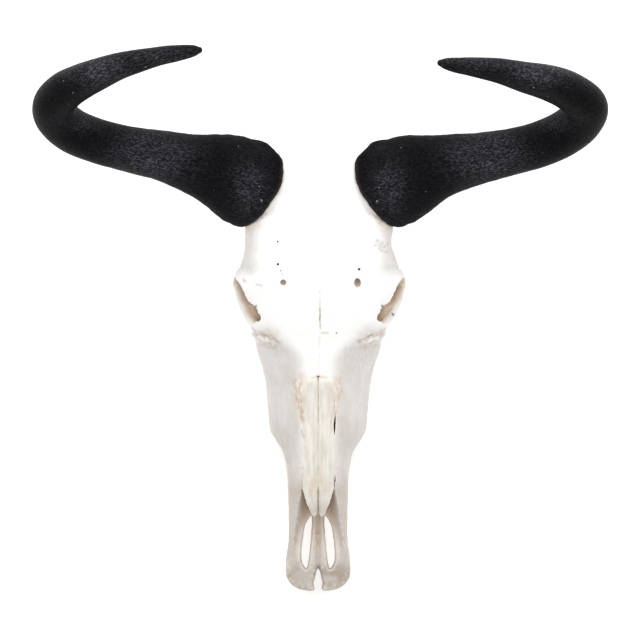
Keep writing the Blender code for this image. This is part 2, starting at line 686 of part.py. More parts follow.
def build():
    for obj in list(bpy.data.objects):
        bpy.data.objects.remove(obj)
    collection = bpy.data.collections.new("wildebeest_skull")
    bpy.context.scene.collection.children.link(collection)
    rest = bpy.data.objects.new("rest_pose", None)
    collection.objects.link(rest)
    rest.rotation_euler.x = REST_TILT
    lowest = TOOTH_ROW_START * math.sin(REST_TILT) + FLOOR_AT_TOOTH_ROW * math.cos(REST_TILT)
    rest.location = (0, REST_SHIFT_Y, -lowest)

    bone = bone_material("bleached_bone", (0.86, 0.83, 0.77), 0.62)
    nose = bone_material("nose_bone", (0.84, 0.79, 0.7), 0.6)
    enamel = bone_material("tooth_enamel", (0.8, 0.72, 0.58), 0.35)
    keratin = bone_material("black_horn", (0.02, 0.02, 0.022), 0.45)

    cranium = fused_bones()
    parted = (("nasal_bone", nose_bone_region, nose), ("premaxilla", lip_bone_region, bone))
    for part, region, material in parted:
        for side, name in ((1, "right"), (-1, "left")):
            piece = cranium.copy()
            piece.data = cranium.data.copy()
            piece.name = f"{part}_{name}"
            bpy.context.scene.collection.objects.link(piece)
            boolean(piece, [region(side, 0.0)], "INTERSECT")
            finished(largest_body(piece), material, rest, collection)
        boolean(cranium, [region(side, SUTURE_GAP / MM) for side in (1, -1)])
    cutters = []
    for side, name, path in ((1, "right", HORN_RIGHT), (-1, "left", HORN_LEFT)):
        finished(horn(f"horn_{name}", path, side), keratin, rest, collection)
        cutters.append(horn("horn_seat", path, side, grow=SUTURE_GAP))
        for index, row in enumerate(TEETH):
            finished(tooth(f"{row[0]}_{name}", index, side), enamel, rest, collection)
            cutters.append(tooth("socket", index, side, grow=SUTURE_GAP))
    boolean(cranium, cutters)
    finished(largest_body(cranium), bone, rest, collection)


build()
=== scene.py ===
"""Wildebeest skull, dressed: fine bone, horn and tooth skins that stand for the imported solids.

Shapes are made in a face frame, in millimetres: X across the skull, Y from the muzzle tip back to the crown
and Z out of the forehead. seated() takes a finished piece to the row frame, in metres.
"""

import math

import bpy
import numpy as np
from mathutils import Matrix, Vector, noise


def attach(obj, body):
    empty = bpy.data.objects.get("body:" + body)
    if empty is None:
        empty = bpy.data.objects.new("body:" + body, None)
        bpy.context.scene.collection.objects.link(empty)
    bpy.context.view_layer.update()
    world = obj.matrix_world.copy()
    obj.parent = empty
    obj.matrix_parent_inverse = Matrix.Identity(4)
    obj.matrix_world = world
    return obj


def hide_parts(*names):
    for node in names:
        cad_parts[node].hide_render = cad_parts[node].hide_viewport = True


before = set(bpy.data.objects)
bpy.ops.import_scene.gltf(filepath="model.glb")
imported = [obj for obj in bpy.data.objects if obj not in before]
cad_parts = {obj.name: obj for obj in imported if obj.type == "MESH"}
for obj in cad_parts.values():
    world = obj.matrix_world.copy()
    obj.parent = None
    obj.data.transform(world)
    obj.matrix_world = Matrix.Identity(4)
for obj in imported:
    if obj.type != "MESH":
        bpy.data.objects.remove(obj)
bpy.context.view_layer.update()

# Driving dimensions: the first five as the solids have them, then how much narrower the right of the neck is
TOOTH_ROW_START = 170
FLOOR_AT_TOOTH_ROW = -128
REST_TILT = math.radians(9.0)
REST_SHIFT = -280.2
LEAN, LEAN_FROM, LEAN_OVER = 1.3, 320, 90
NECK_PLACE, NECK_NARROWING = 365, 0.03

# Open seams, and how fine the skins are
SUTURE_GAP = 0.16
LIP_GAP = 0.06
HORN_GAP = 0.35
BONE_VOXEL = 1.3
BONE_TRIANGLES = 185_000
HEAD_RINGS, HEAD_SIDES = 180, 120
HORN_RINGS, HORN_SIDES = 400, 144
# The share of a horn's length over which the base's outline turns into a plain oval
HORN_BASE_BLEND = 0.17
BOTH = (1, -1)

# The head from the nose roof back to the crown. Each row is a place along the face and the right half of the
# cross-section there, from the top midline down the side to the midline of the palate or the base.
HEAD_SECTIONS = (
    (108, (0, 1), (12, 0), (19, -5), (27, -18), (31, -38),
     (31.5, -54), (30, -70), (24, -78), (14, -76), (0, -75)),
    (128, (0, 2), (12, 1), (20, -4), (28, -19), (32, -42),
     (33, -62), (31, -78), (25, -87), (14, -83), (0, -80)),
    (145, (0, 3), (13, 2), (21, -4), (30, -22), (35, -46),
     (36.2, -66), (34, -86), (27, -97), (16, -91), (0, -87)),
    (158, (0, 4), (13, 3), (22, -4), (33, -25), (40, -50),
     (43.6, -72), (42, -91), (33, -104), (22, -97), (0, -90)),
    (171, (0, 4), (14, 3), (23, -4), (35, -26), (45, -53),
     (51, -77), (49, -97), (38, -110), (27, -102), (0, -94)),
    (195, (0, 5), (15, 4), (24, -3), (38, -26), (48, -54),
     (53.2, -82), (52, -102), (43, -113), (28, -106), (0, -96)),
    (215, (0, 6), (16, 5), (26, -1), (41, -25), (50, -54),
     (55.2, -82), (53, -104), (44, -117), (28, -109), (0, -98)),
    (235, (0, 7), (18, 6), (31, 1), (45, -21), (54.5, -48),
     (58.8, -76), (54, -104), (45, -120), (28, -112), (0, -100)),
    (250, (0, 9), (22, 8), (36, 3), (50, -17), (61, -43),
     (63, -68), (55, -100), (46, -123), (28, -114), (0, -102)),
    (262, (0, 10), (27, 9), (42, 5), (56, -12), (65, -40),
     (65.5, -62), (54, -96), (46, -126), (28, -116), (0, -103)),
    (275, (0, 12), (34, 11), (50, 8), (62, -3), (68, -34),
     (66, -60), (52, -92), (43, -126), (27, -117), (0, -103)),
    (290, (0, 14), (40, 13), (57, 10), (66, 2), (72, -30),
     (66, -56), (46, -82), (32, -110), (22, -110), (0, -100)),
    (308, (0, 16), (45, 15), (63, 12), (74, 4), (79, -14),
     (62, -40), (38, -66), (24, -96), (16, -104), (0, -98)),
    (328, (0, 17), (48, 16), (70, 12), (85, 2), (85, -12),
     (60, -32), (36, -60), (22, -92), (14, -102), (0, -98)),
    (345, (0, 17), (48, 16), (70, 12), (82, 2), (78, -12),
     (54, -30), (36, -58), (24, -92), (14, -106), (0, -104)),
    (365, (0, 16), (45, 15), (65, 8), (78, -6), (73, -18),
     (54, -30), (42, -58), (28, -94), (16, -112), (0, -112)),
    (388, (0, 14), (42, 11.5), (59, 1), (78, -19), (72, -30),
     (55, -40), (48, -64), (38, -96), (18, -118), (0, -118)),
    (412, (0, 10), (37, 8), (49, -2), (61, -20), (60, -34),
     (56, -46), (54, -70), (46, -100), (22, -122), (0, -124)),
    (438, (0, 4), (32, 1), (45, -7), (55, -21), (56, -37),
     (56, -52), (58, -78), (50, -104), (24, -124), (0, -126)),
    (452, (0, -6), (26, -9), (38, -18), (48, -31), (52, -46),
     (54, -62), (54, -84), (46, -106), (22, -122), (0, -124)),
    (462, (0, -26), (20, -28), (30, -34), (38, -44), (43, -56),
     (45, -70), (42, -88), (34, -102), (18, -112), (0, -114)),
    (469, (0, -48), (14, -49), (22, -52), (28, -57), (32, -64),
     (34, -74), (31, -88), (26, -98), (14, -104), (0, -106)),
)

# The wall of an upper lip bone, from back to front: place along the face, outer side, ridge and its level,
# and the foot of the inner slope and its level
LIP_WALL = (
    (134, 32, 19, -6, 18, -60), (122, 31.6, 17.4, -5, 16, -62), (110, 31.4, 17, -6, 13.5, -64),
    (100, 31.4, 18.9, -13, 11.5, -65), (91, 31.1, 20.6, -22, 9, -66), (78, 30.8, 22.2, -35, 8.5, -66),
    (67, 30.8, 24.2, -44, 14.5, -66), (57, 31, 25.6, -50, 16, -66), (44, 32.6, 26.4, -55, 17.4, -66),
    (30, 34, 26, -57.5, 17.5, -66), (16, 33.6, 24, -59, 14, -66), (8, 27, 20, -60.5, 12, -66),
)
LIP_PLATE = (
    (0.6, 27), (0.6, 52), (0.6, 88), (10, 90), (20, 90), (30.4, 84), (30.8, 68), (31, 56), (32.7, 44),
    (34.3, 30), (34.4, 18), (31.8, 10.5), (26.8, 5), (20.3, 1.6), (13.2, 0.2), (5.4, -0.4), (3.4, 1.6),
    (4.8, 7.8), (3.7, 12.5), (2, 20),
)
LIP_WINDOW = (
    (7.2, 79), (10, 76), (13.6, 69), (15.6, 58), (16.8, 49), (17.5, 38.5), (17, 31), (14.8, 26),
    (12.2, 24), (10.8, 30), (9.8, 37), (8.8, 48), (7.7, 60), (7.0, 72),
)
# The seam behind an upper lip bone: places along the face and levels
LIP_SEAM = ((76, -110), (78, -90), (88, -72), (104, -50), (120, -28), (131, -10), (133, 4))
NOSE_BONE_END = (
    (0.2, 142), (0.2, 120), (0.2, 100), (0.4, 86), (1.8, 81), (4.6, 80.2), (7.4, 83.4), (9.4, 88),
    (11.6, 95), (14.2, 103.5), (16.6, 110.5), (17.3, 120), (16.8, 132), (15, 142),
)

# What the roof of an eye socket lacks, seen from the front: its inner edge, then round outside the skull
ORBIT_BITE = (
    (91, 334), (87, 330.5), (83.3, 326), (79.2, 317.5), (76, 310.6), (71.6, 305.4), (67.6, 302.8),
    (65, 303.2), (66, 300.4), (63.8, 296.5), (61, 291), (62, 287.4), (66.4, 286), (74, 284), (84, 282),
    (100, 282), (108, 300), (108, 320), (100, 335),
)

# The horns: places on the middle line, then the half-width in the face plane and the half-thickness across it
HORN_BASE_CENTRE = (72, 432, -26.5)
HORN_BASE_HALVES = (45, 36)
HORN_BASE_AXES = ((-4.5, 45.5, -13), (-26.5, 8, 34.5), (-8.5, 4, 0))
HORN_LEFT = (
    (86, 436.5, -33, 45, 32), (103, 443.3, -40, 39, 30), (120.2, 449.5, -46, 34.5, 28.5),
    (143.4, 456, -51, 30, 26.5), (171, 463.3, -55, 26.6, 25), (208.5, 470.3, -55, 24.2, 23.8),
    (236.5, 478, -49, 23.8, 23.4), (260.5, 487.5, -38, 23.8, 23), (276.5, 501.3, -22, 23.4, 22.5),
    (278.8, 514.7, -4, 22.8, 22), (267, 527, 13, 21.8, 20.8), (250, 536, 27, 19.4, 19),
    (229.2, 544.2, 39, 17, 16.8), (204.4, 552.8, 50, 13.8, 13.8), (169.9, 560.7, 60, 10.4, 10.4),
    (150, 563.8, 64.5, 9, 9), (136, 565.8, 67, 7.2, 7.2), (128.6, 566.8, 68.4, 5.6, 5.6),
    (125, 567.2, 69, 3.8, 3.8),
)
HORN_RIGHT = (
    (86, 435.5, -33, 45.5, 32), (104.3, 442, -40, 39.5, 30), (123.6, 449.2, -46, 34.5, 28.5),
    (144, 454.4, -51, 30.8, 26.5), (170.4, 459.6, -55, 27.4, 25), (207.8, 467.2, -55, 24.8, 24),
    (234.5, 474.5, -49, 24.4, 23.6), (259.5, 485.5, -38, 24.2, 23), (276, 499, -22, 23.8, 22.6),
    (280.5, 513.2, -4, 23.2, 22), (263.5, 526, 13, 22.2, 20.8), (242.2, 534.4, 27, 20, 19.2),
    (214.5, 540.7, 39, 16.6, 16.4), (185.2, 547.2, 49, 13, 13), (156.2, 550.8, 57, 9.8, 9.8),
    (146, 551.6, 60, 8.6, 8.6), (136, 552.8, 63, 7.2, 7.2), (129.6, 553.6, 64.6, 5.6, 5.6),
    (126, 554.1, 65.4, 3.8, 3.8),
)

# Where the horns take painted sheen, as grey patches: middle across and along, half-widths and share
HORN_PAINTED_SHEEN = (
    (177, 461, 36, 26, 1.0), (72, 425, 18, 26, 0.6), (228, 548, 34, 17, 0.9), (160, 560, 42, 14, 0.7),
    (250, 495, 20, 10, 0.4),
)

# The cheek teeth from front to back: name, length along the row, width across it and place across the skull
TEETH = (
    ("premolar_2", 11, 9.5, 35.0),
    ("premolar_3", 13, 12.5, 36.0),
    ("premolar_4", 14, 14.5, 37.0),
    ("molar_1", 17.5, 17, 37.8),
    ("molar_2", 20.5, 18, 37.6),
    ("molar_3", 22, 16.5, 36.4),
)
TOOTH_SPACE = 0.8
TOOTH_ROOT_DEPTH = 14

# Cracks in the upper face of the bones: places in the face plane, half-widths, top and depth
SLITS = (
    (((0.7, 300), (1.1, 293), (1.0, 287), (1.7, 281)), (0.06, 0.2, 0.24, 0.06), 26, 12),
    (((18.0, 189), (17.6, 183), (17.2, 175), (17.1, 167)), (0.2, 1.0, 1.3, 0.2), 16, -6),
    (((-15.3, 180.5), (-15.6, 173), (-15.3, 165)), (0.1, 0.26, 0.1), 16, -2),
    (((17.9, 125), (17.7, 119), (17.1, 112)), (0.2, 0.9, 0.3), 14, -8),
    (((0, 114), (0, 105), (0, 96), (0, 87), (0, 78)), (0.12, 0.45, 0.55, 0.7, 1.1), 14, -24),
)

# The crack beside a nose bone, and half the width of the white of the forehead, beyond which the cheeks take
# painted shade: places along and across
NOSE_SEAM = (132, 150, 166, 180, 196, 207, 217, 223, 228), (15.8, 15.2, 15.3, 15.8, 17.3, 17.4, 15.6, 12, 3)
WHITE_HALF = (190, 245, 255, 267, 280), (7, 9, 13, 24, 38)


# Curves and skins. A skin is (points, faces), closed, with its faces pointing out.


def smooth(value, low=0.0, high=1.0):
    """0 below low, 1 above high and an even S between, for numbers or arrays."""
    share = np.clip((value - low) / (high - low), 0, 1)
    return share * share * (3 - 2 * share)


def until(value, full, high):
    """1 below full and 0 above high."""
    return smooth(-value, -high, -full)


def band(value, low, full, fall, high):
    """0 below low, 1 from full to fall and 0 above high."""
    return smooth(value, low, full) * until(value, fall, high)


def bell(*distances):
    """1 where every distance is 0, and less the greater they are."""
    return np.exp(-sum(distance**2 for distance in distances))


def spline(p0, p1, p2, p3, t):
    return 0.5 * (2 * p1 + (p2 - p0) * t + (2 * p0 - 5 * p1 + 4 * p2 - p3) * t**2
                  + (3 * p1 - p0 - 3 * p2 + p3) * t**3)


def rounded_ring(points, count):
    """A closed smooth curve through the points, as count points."""
    points = np.asarray(points, float)
    place = np.arange(count) * len(points) / count
    i = place.astype(int)
    corners = [points[(i + j) % len(points)] for j in (-1, 0, 1, 2)]
    return spline(*corners, (place - i)[:, None])


def along_path(points, count):
    """A smooth open curve through rows of numbers, as count rows evenly spaced by length."""
    points = np.asarray(points, float)
    gaps = np.linalg.norm(np.diff(points[:, :3], axis=0), axis=1)
    places = np.concatenate([[0], np.cumsum(gaps)])
    padded = np.vstack([2 * points[0] - points[1], points, 2 * points[-1] - points[-2]])
    place = np.linspace(0, places[-1], count)
    i = np.clip(np.searchsorted(places, place, side="right") - 1, 0, len(gaps) - 1)
    return spline(*(padded[i + j] for j in range(4)), ((place - places[i]) / gaps[i])[:, None])


def eased(places, values, wanted):
    """A smooth curve through values at places, which doesn't overshoot them, read at the places wanted."""
    step = np.diff(places)[:, None]
    slope = np.diff(values, axis=0) / step
    tangent = np.zeros_like(values)
    tangent[0], tangent[-1] = slope[0], slope[-1]
    same_way = slope[:-1] * slope[1:] > 0
    both = np.where(same_way, slope[:-1] + slope[1:], 1.0)
    tangent[1:-1] = np.where(same_way, 2 * slope[:-1] * slope[1:] / both, 0.0)
    index = np.clip(np.searchsorted(places, wanted) - 1, 0, len(step) - 1)
    span = step[index]
    t = ((wanted - places[index]) / span[:, 0])[:, None]
    return (
        (2 * t**3 - 3 * t**2 + 1) * values[index] + (t**3 - 2 * t**2 + t) * span * tangent[index]
        + (3 * t**2 - 2 * t**3) * values[index + 1] + (t**3 - t**2) * span * tangent[index + 1]
    )


def mirrored(points, side):
    return [(side * x, y, z) for x, y, z in points]


def unit(vectors):
    return vectors / np.linalg.norm(vectors, axis=-1, keepdims=True)


def closed(rings):
    """The skin through rings of equally many points, each end closed from its middle."""
    rings = np.asarray(rings, float)
    rows, count = rings.shape[:2]
    points = np.vstack([rings.reshape(-1, 3), rings[0].mean(axis=0), rings[-1].mean(axis=0)])
    k = np.arange(count)
    after = (k + 1) % count
    faces = []
    for row in range(rows - 1):
        low, high = row * count, (row + 1) * count
        faces += np.stack([low + k, low + after, high + after, high + k], axis=1).tolist()
    last = (rows - 1) * count
    faces += [(b, a, rows * count) for a, b in zip(k.tolist(), after.tolist())]
    faces += [(last + a, last + b, rows * count + 1) for a, b in zip(k.tolist(), after.tolist())]
    return facing_out(points, faces)


def facing_out(points, faces):
    volume = 0.0
    for size in (3, 4):
        part = np.array([f for f in faces if len(f) == size], int)
        if len(part):
            for j in range(1, size - 1):
                a, b, c = points[part[:, 0]], points[part[:, j]], points[part[:, j + 1]]
                volume += np.einsum("ij,ij->i", a, np.cross(b, c)).sum()
    return points, faces if volume > 0 else [tuple(f)[::-1] for f in faces]


def ball(centre, radii, turn=(0, 0, 0), rows=24, count=32):
    """An ellipsoid."""
    up = np.linspace(-math.pi / 2, math.pi / 2, rows + 2)[1:-1]
    round_ = 2 * math.pi * np.arange(count) / count
    rings = np.stack([
        np.cos(up)[:, None] * np.cos(round_), np.cos(up)[:, None] * np.sin(round_),
        np.repeat(np.sin(up)[:, None], count, axis=1),
    ], axis=-1) * radii
    place = Matrix()
    for axis, angle in zip("XYZ", turn):
        place = place @ Matrix.Rotation(math.radians(angle), 4, axis)
    return closed(rings @ np.array(place)[:3, :3].T + centre)


def limb(path, sizes, across=(0, 0, 1), sides=20, count=40):
    """A bar along path with an oval section: half-width across the path's side, half-height along across."""
    rows = along_path([(*p, *size) for p, size in zip(path, sizes)], count)
    ahead = unit(np.gradient(rows[:, :3], axis=0))
    up = np.asarray(across, float)
    up = unit(up - ahead * (ahead @ up)[:, None])
    side = np.cross(ahead, up)
    angle = 2 * math.pi * np.arange(sides) / sides
    return closed(
        rows[:, None, :3] + side[:, None] * (rows[:, 3:4] * np.cos(angle))[..., None]
        + up[:, None] * (rows[:, 4:5] * np.sin(angle))[..., None]
    )


def ring_bar(centre, normal, radius, thickness, rows=72, count=18):
    """A torus round a normal."""
    turn = np.array(Vector(normal).to_track_quat("Z", "Y").to_matrix())
    a = 2 * math.pi * np.arange(rows) / rows
    b = 2 * math.pi * np.arange(count) / count
    reach = radius + thickness * np.cos(b)
    points = np.stack([
        np.cos(a)[:, None] * reach, np.sin(a)[:, None] * reach, np.tile(thickness * np.sin(b), (rows, 1)),
    ], axis=-1).reshape(-1, 3)
    faces = []
    for i in range(rows):
        for j in range(count):
            p, q = (j + 1) % count, (i + 1) % rows
            faces.append((i * count + j, q * count + j, q * count + p, i * count + p))
    return facing_out(points @ turn.T + centre, faces)


def slab(outline, low, high, place=lambda x, y, z: (x, y, z)):
    """A flat outline between two levels, with each point put in place."""
    return closed([[place(x, y, z) for x, y in outline] for z in (low, high)])


def joined(skins):
    points, faces = [], []
    start = 0
    for some, their in skins:
        points.append(some)
        faces += [[start + k for k in face] for face in their]
        start += len(some)
    return np.vstack(points), faces


# Blender objects


def as_object(name, skin):
    mesh = bpy.data.meshes.new(name)
    mesh.from_pydata(skin[0].tolist(), [], skin[1])
    mesh.update()
    obj = bpy.data.objects.new(name, mesh)
    bpy.context.scene.collection.objects.link(obj)
    return obj


def applied(obj):
    """The object's mesh with its modifiers, which then go."""
    graph = bpy.context.evaluated_depsgraph_get()
    mesh = bpy.data.meshes.new_from_object(obj.evaluated_get(graph))
    obj.modifiers.clear()
    obj.data = mesh
    return obj


def boolean(obj, skins, operation="DIFFERENCE", solver="MANIFOLD"):
    for skin in skins:
        tool = as_object("tool", skin)
        modifier = obj.modifiers.new("cut", "BOOLEAN")
        modifier.operation = operation
        modifier.solver = solver
        modifier.object = tool
        applied(obj)
        bpy.data.objects.remove(tool)
    return obj


def rows_of(items, key, width=3, kind=float):
    rows = np.empty(len(items) * width, kind)
    items.foreach_get(key, rows)
    return rows.reshape(-1, width)


def points_of(obj):
    return rows_of(obj.data.vertices, "co")


def normals_of(obj):
    return rows_of(obj.data.vertex_normals, "vector")


def edges_of(obj):
    return rows_of(obj.data.edges, "vertices", 2, int)


def move_points(obj, points):
    obj.data.vertices.foreach_set("co", np.ascontiguousarray(points, float).reshape(-1))
    obj.data.update()


def largest_body(obj):
    """Keeps the largest connected body of a mesh."""
    edges = edges_of(obj)
    label = np.arange(len(obj.data.vertices))
    while True:
        low = np.minimum(label[edges[:, 0]], label[edges[:, 1]])
        before = label.copy()
        np.minimum.at(label, edges[:, 0], low)
        np.minimum.at(label, edges[:, 1], low)
        label = label[label]
        if (label == before).all():
            break
    keep = label == np.bincount(label).argmax()
    if keep.all():
        return obj
    number = np.cumsum(keep) - 1
    faces = [
        [int(number[v]) for v in face.vertices] for face in obj.data.polygons if keep[face.vertices[0]]
    ]
    name = obj.name
    points = points_of(obj)[keep]
    bpy.data.objects.remove(obj)
    return as_object(name, (points, faces))


def thinned(obj):
    """Takes triangles away from the back and the underside of the bones, and none from the face."""
    points, normals = points_of(obj), normals_of(obj)
    unseen = (normals[:, 2] < 0.15) | (points[:, 2] < -62) | (points[:, 1] > 400)
    group = obj.vertex_groups.new(name="unseen")
    group.add(np.flatnonzero(unseen).tolist(), 1.0, "REPLACE")
    thin = obj.modifiers.new("thin", "DECIMATE")
    thin.ratio = min(1.0, BONE_TRIANGLES / (2 * len(points)))
    thin.vertex_group = group.name
    applied(obj)
    obj.vertex_groups.clear()
    return obj


def softened(points, edges, rounds, factor=0.5):
    """The points after rounds of moving each one towards its neighbours."""
    ends = np.concatenate([edges, edges[:, ::-1]])
    share = 1 / np.maximum(np.bincount(ends[:, 0], minlength=len(points)), 1)
    for _ in range(rounds):
        mean = np.stack([
            np.bincount(ends[:, 0], points[ends[:, 1], axis], len(points)) for axis in range(3)
        ], axis=1) * share[:, None]
        points = points + (mean - points) * factor
    return points


def rough(points, size, octaves=3, seed=0.0):
    """Fractal noise from about -1 to 1 at the points, with features of about the size given."""
    shift = Vector((seed * 13.7, seed * 7.1, seed * 3.3))
    return np.array([
        noise.fractal(Vector(p) + shift, 1.0, 2.0, octaves) for p in (points / size).tolist()
    ])


def set_attribute(obj, name, values):
    made = obj.data.attributes.new(name, "FLOAT" if values.ndim == 1 else "FLOAT_VECTOR", "POINT")
    made.data.foreach_set("value" if values.ndim == 1 else "vector", values.astype(np.float32).reshape(-1))


def seated(obj):
    """Leans the muzzle a little, lays the piece at rest on the floor and takes it to metres."""
    points = points_of(obj)
    across = points[:, 0] - LEAN * smooth((LEAN_FROM - points[:, 1]) / LEAN_OVER)
    along, out = points[:, 1], points[:, 2]
    lift = -(TOOTH_ROW_START * math.sin(REST_TILT) + FLOOR_AT_TOOTH_ROW * math.cos(REST_TILT))
    move_points(obj, 0.001 * np.stack([
        across,
        along * math.cos(REST_TILT) - out * math.sin(REST_TILT) + REST_SHIFT,
        along * math.sin(REST_TILT) + out * math.cos(REST_TILT) + lift,
    ], axis=1))
    obj.data.shade_smooth()
    return obj


# The bones


def floor_height(along):
    """The height of the surface that the skull rests on, below a place along the face."""
    return FLOOR_AT_TOOTH_ROW - math.tan(REST_TILT) * (along - TOOTH_ROW_START)


def head_mass():
    """The solid head: nose, cheeks, forehead, braincase and back."""
    places = np.array([row[0] for row in HEAD_SECTIONS], float)
    halves = np.array([row[1:] for row in HEAD_SECTIONS], float)
    wanted = np.linspace(places[0], places[-1], HEAD_RINGS)
    flat = eased(places, halves.reshape(len(halves), -1), wanted).reshape(len(wanted), -1, 2)
    rings = []
    for along, half in zip(wanted, flat):
        ring = rounded_ring(np.vstack([half, half[1:-1][::-1] * (-1, 1)]), HEAD_SIDES)
        ring[:, 0] *= 1 - NECK_NARROWING * bell((along - NECK_PLACE) / 22) * (ring[:, 0] > 0)
        rings.append(np.stack([ring[:, 0], np.full(len(ring), along), ring[:, 1]], axis=1))
    return closed(rings)


def nose_hollow():
    """The nasal cavity, open at the front between the nose bones and the palate."""
    sections = (
        (60, 23, 12, 30, -64), (96, 22, 13, 26, -70), (112, 21, 13, -4.5, -72), (140, 21, 14, -3.5, -78),
        (175, 23, 18, -3, -84), (215, 26, 22, -2, -88), (255, 24, 20, -6, -90), (285, 14, 12, -26, -86),
    )
    rings = []
    for along, top_half, low_half, top, low in sections:
        half = ((top_half * 0.8, top - 3), (top_half, top - 22), (low_half + 3, low + 12), (low_half, low))
        outline = [(0, top), *half, (0, low), *[(-x, z) for x, z in half[::-1]]]
        rings.append([(x, along, z) for x, z in rounded_ring(outline, 40)])
    return closed(rings)


def head_hollows():
    """What is cut from the solid head."""
    hollows = [
        nose_hollow(),
        limb(((0, 372, -142), (0, 335, -118), (0, 300, -98), (0, 262, -80)),
             ((13, 16), (13, 15), (12, 13), (10, 11))),
        ball((0, 222, -117), (25, 72, 14)),
        ball((0, 412, -72), (34, 36, 32)),
    ]
    for side in BOTH:
        hollows += [
            ball((side * 73, 308, -31), (38, 24, 23), (0, side * -14, side * 22)),
            limb(mirrored(((66, 322, -52), (66, 350, -52), (66, 378, -60), (70, 396, -62)), side),
                 ((24, 26), (22, 30), (18, 24), (10, 12))),
            limb(mirrored(((62, 292, -104), (54, 318, -104), (50, 350, -112)), side),
                 ((20, 26), (25, 34), (20, 26))),
        ]
    return hollows


def lip_wall(side):
    """A lip bone's wall: a ridge that climbs to the nose, with a slope down to the nasal opening."""
    rings = []
    for along, outer, ridge, crest, inner, foot in LIP_WALL:
        rise = crest - foot
        section = (
            (outer - 3, foot - 8), (outer, foot + 2), (outer - 0.4, foot + 0.45 * rise),
            (ridge + 0.5 * (outer - ridge), crest - 0.2 * rise), (ridge, crest),
            (0.55 * ridge + 0.45 * inner, crest - 0.55 * rise), (inner, foot), (inner, foot - 8),
        )
        rings.append([(side * x, along, z) for x, z in rounded_ring(section, 48)])
    rings = np.array(rings)
    along = rings[:, 0, 1]
    wanted = np.linspace(along[0], along[-1], 60)
    order = np.argsort(along)
    flat = eased(along[order], rings.reshape(len(rings), -1)[order], wanted[::-1])
    return closed(flat.reshape(len(wanted), -1, 3))


def plate(outline, levels, side, uneven=0.25, bend=lambda y: 0.0):
    """A flat form with rounded edges: the outline grown by an amount at each level, from the top down."""
    centre = np.mean(outline, axis=0)
    return closed([
        [(side * x, y, z + bend(y)) for x, y in wavy(outline, grow, centre, uneven)] for grow, z in levels
    ])


def lip_bone_front(side):
    """The broad flat end of an upper lip bone and the inner bar that runs back from it."""
    middle = ((3.5, 96, -70), (3.5, 78, -68), (4, 55, -66), (5, 36, -64.5), (6.6, 24, -64), (9.6, 10, -64.5))
    levels = (-4.5, -57.5), (-2, -58.6), (-0.6, -60.6), (0, -63.5), (0, -68.5), (-1.5, -72.5)
    return [
        plate(LIP_PLATE, levels, side),
        limb(mirrored(middle, side),
             ((3.6, 5.5), (3.7, 5.4), (4.1, 5.2), (4.5, 5.2), (5.2, 5.4), (5, 5))),
    ]


def lip_window(side):
    """The opening between an upper lip bone's wall and its inner bar."""
    return plate(LIP_WINDOW, ((2.5, -52), (0.9, -60), (0, -64), (0, -84)), side, 0.3)


def nose_bone_tip(side):
    """The pointed end of a nose bone, over the nasal opening."""
    return plate(
        NOSE_BONE_END, ((-4, 0.8), (-2, 0.3), (-0.6, -0.8), (0, -2.4), (-0.6, -4.2)), side,
        bend=lambda y: -3.5 * float(smooth((112 - y) / 32)),
    )


def orbit_bite(side):
    """What is missing from the roof of an eye socket, so that its floor shows from the front."""
    return plate(ORBIT_BITE, ((0.8, 30), (0, 4), (0, -27)), side, 1.0)


def cheek_arch(side):
    """The cheek bone under the eye and the arch behind it."""
    path = (
        (56, 255, -54), (61.5, 268, -55), (67.5, 282, -56), (77.5, 296, -57), (83, 308, -59),
        (86, 320, -61), (82, 338, -64), (76, 356, -70), (68, 376, -78), (57, 394, -86),
    )
    sizes = (
        (6, 10), (6, 13), (5.5, 14), (4.8, 11), (4.4, 10), (4.4, 9), (4.2, 8), (4.2, 7), (4.5, 7), (7, 8),
    )
    return limb(mirrored(path, side), sizes)


def fuller_circle(angle):
    """A point of a circle that bulges a little towards a square, with two of its corners cut."""
    across, up = math.cos(angle), math.sin(angle)
    size = 1.0
    for corner, cut in ((45, 0.14), (135, 0.1)):
        size -= cut * max(0.0, math.cos(angle - math.radians(corner))) ** 6
    return size * math.copysign(abs(across) ** 0.85, across), size * math.copysign(abs(up) ** 0.85, up)


def pedicle(side):
    """The bony stump of a horn, as far as the sheath's mouth."""
    centre = np.array(mirrored([HORN_BASE_CENTRE], side)[0], float)
    first, second, curl = np.array(mirrored(HORN_BASE_AXES, side), float)
    out = unit(np.array((side * 0.94, 0.18, -0.28)))
    rings = []
    for reach, size in ((-42, 0.5), (-20, 0.8), (0, 0.9), (9, 0.86), (18, 0.8)):
        ring = []
        for k in range(48):
            x, y = fuller_circle(2 * math.pi * k / 48)
            ring.append(centre + out * reach + (first * x + second * y + curl * y * y) * size)
        rings.append(ring)
    return closed(rings)


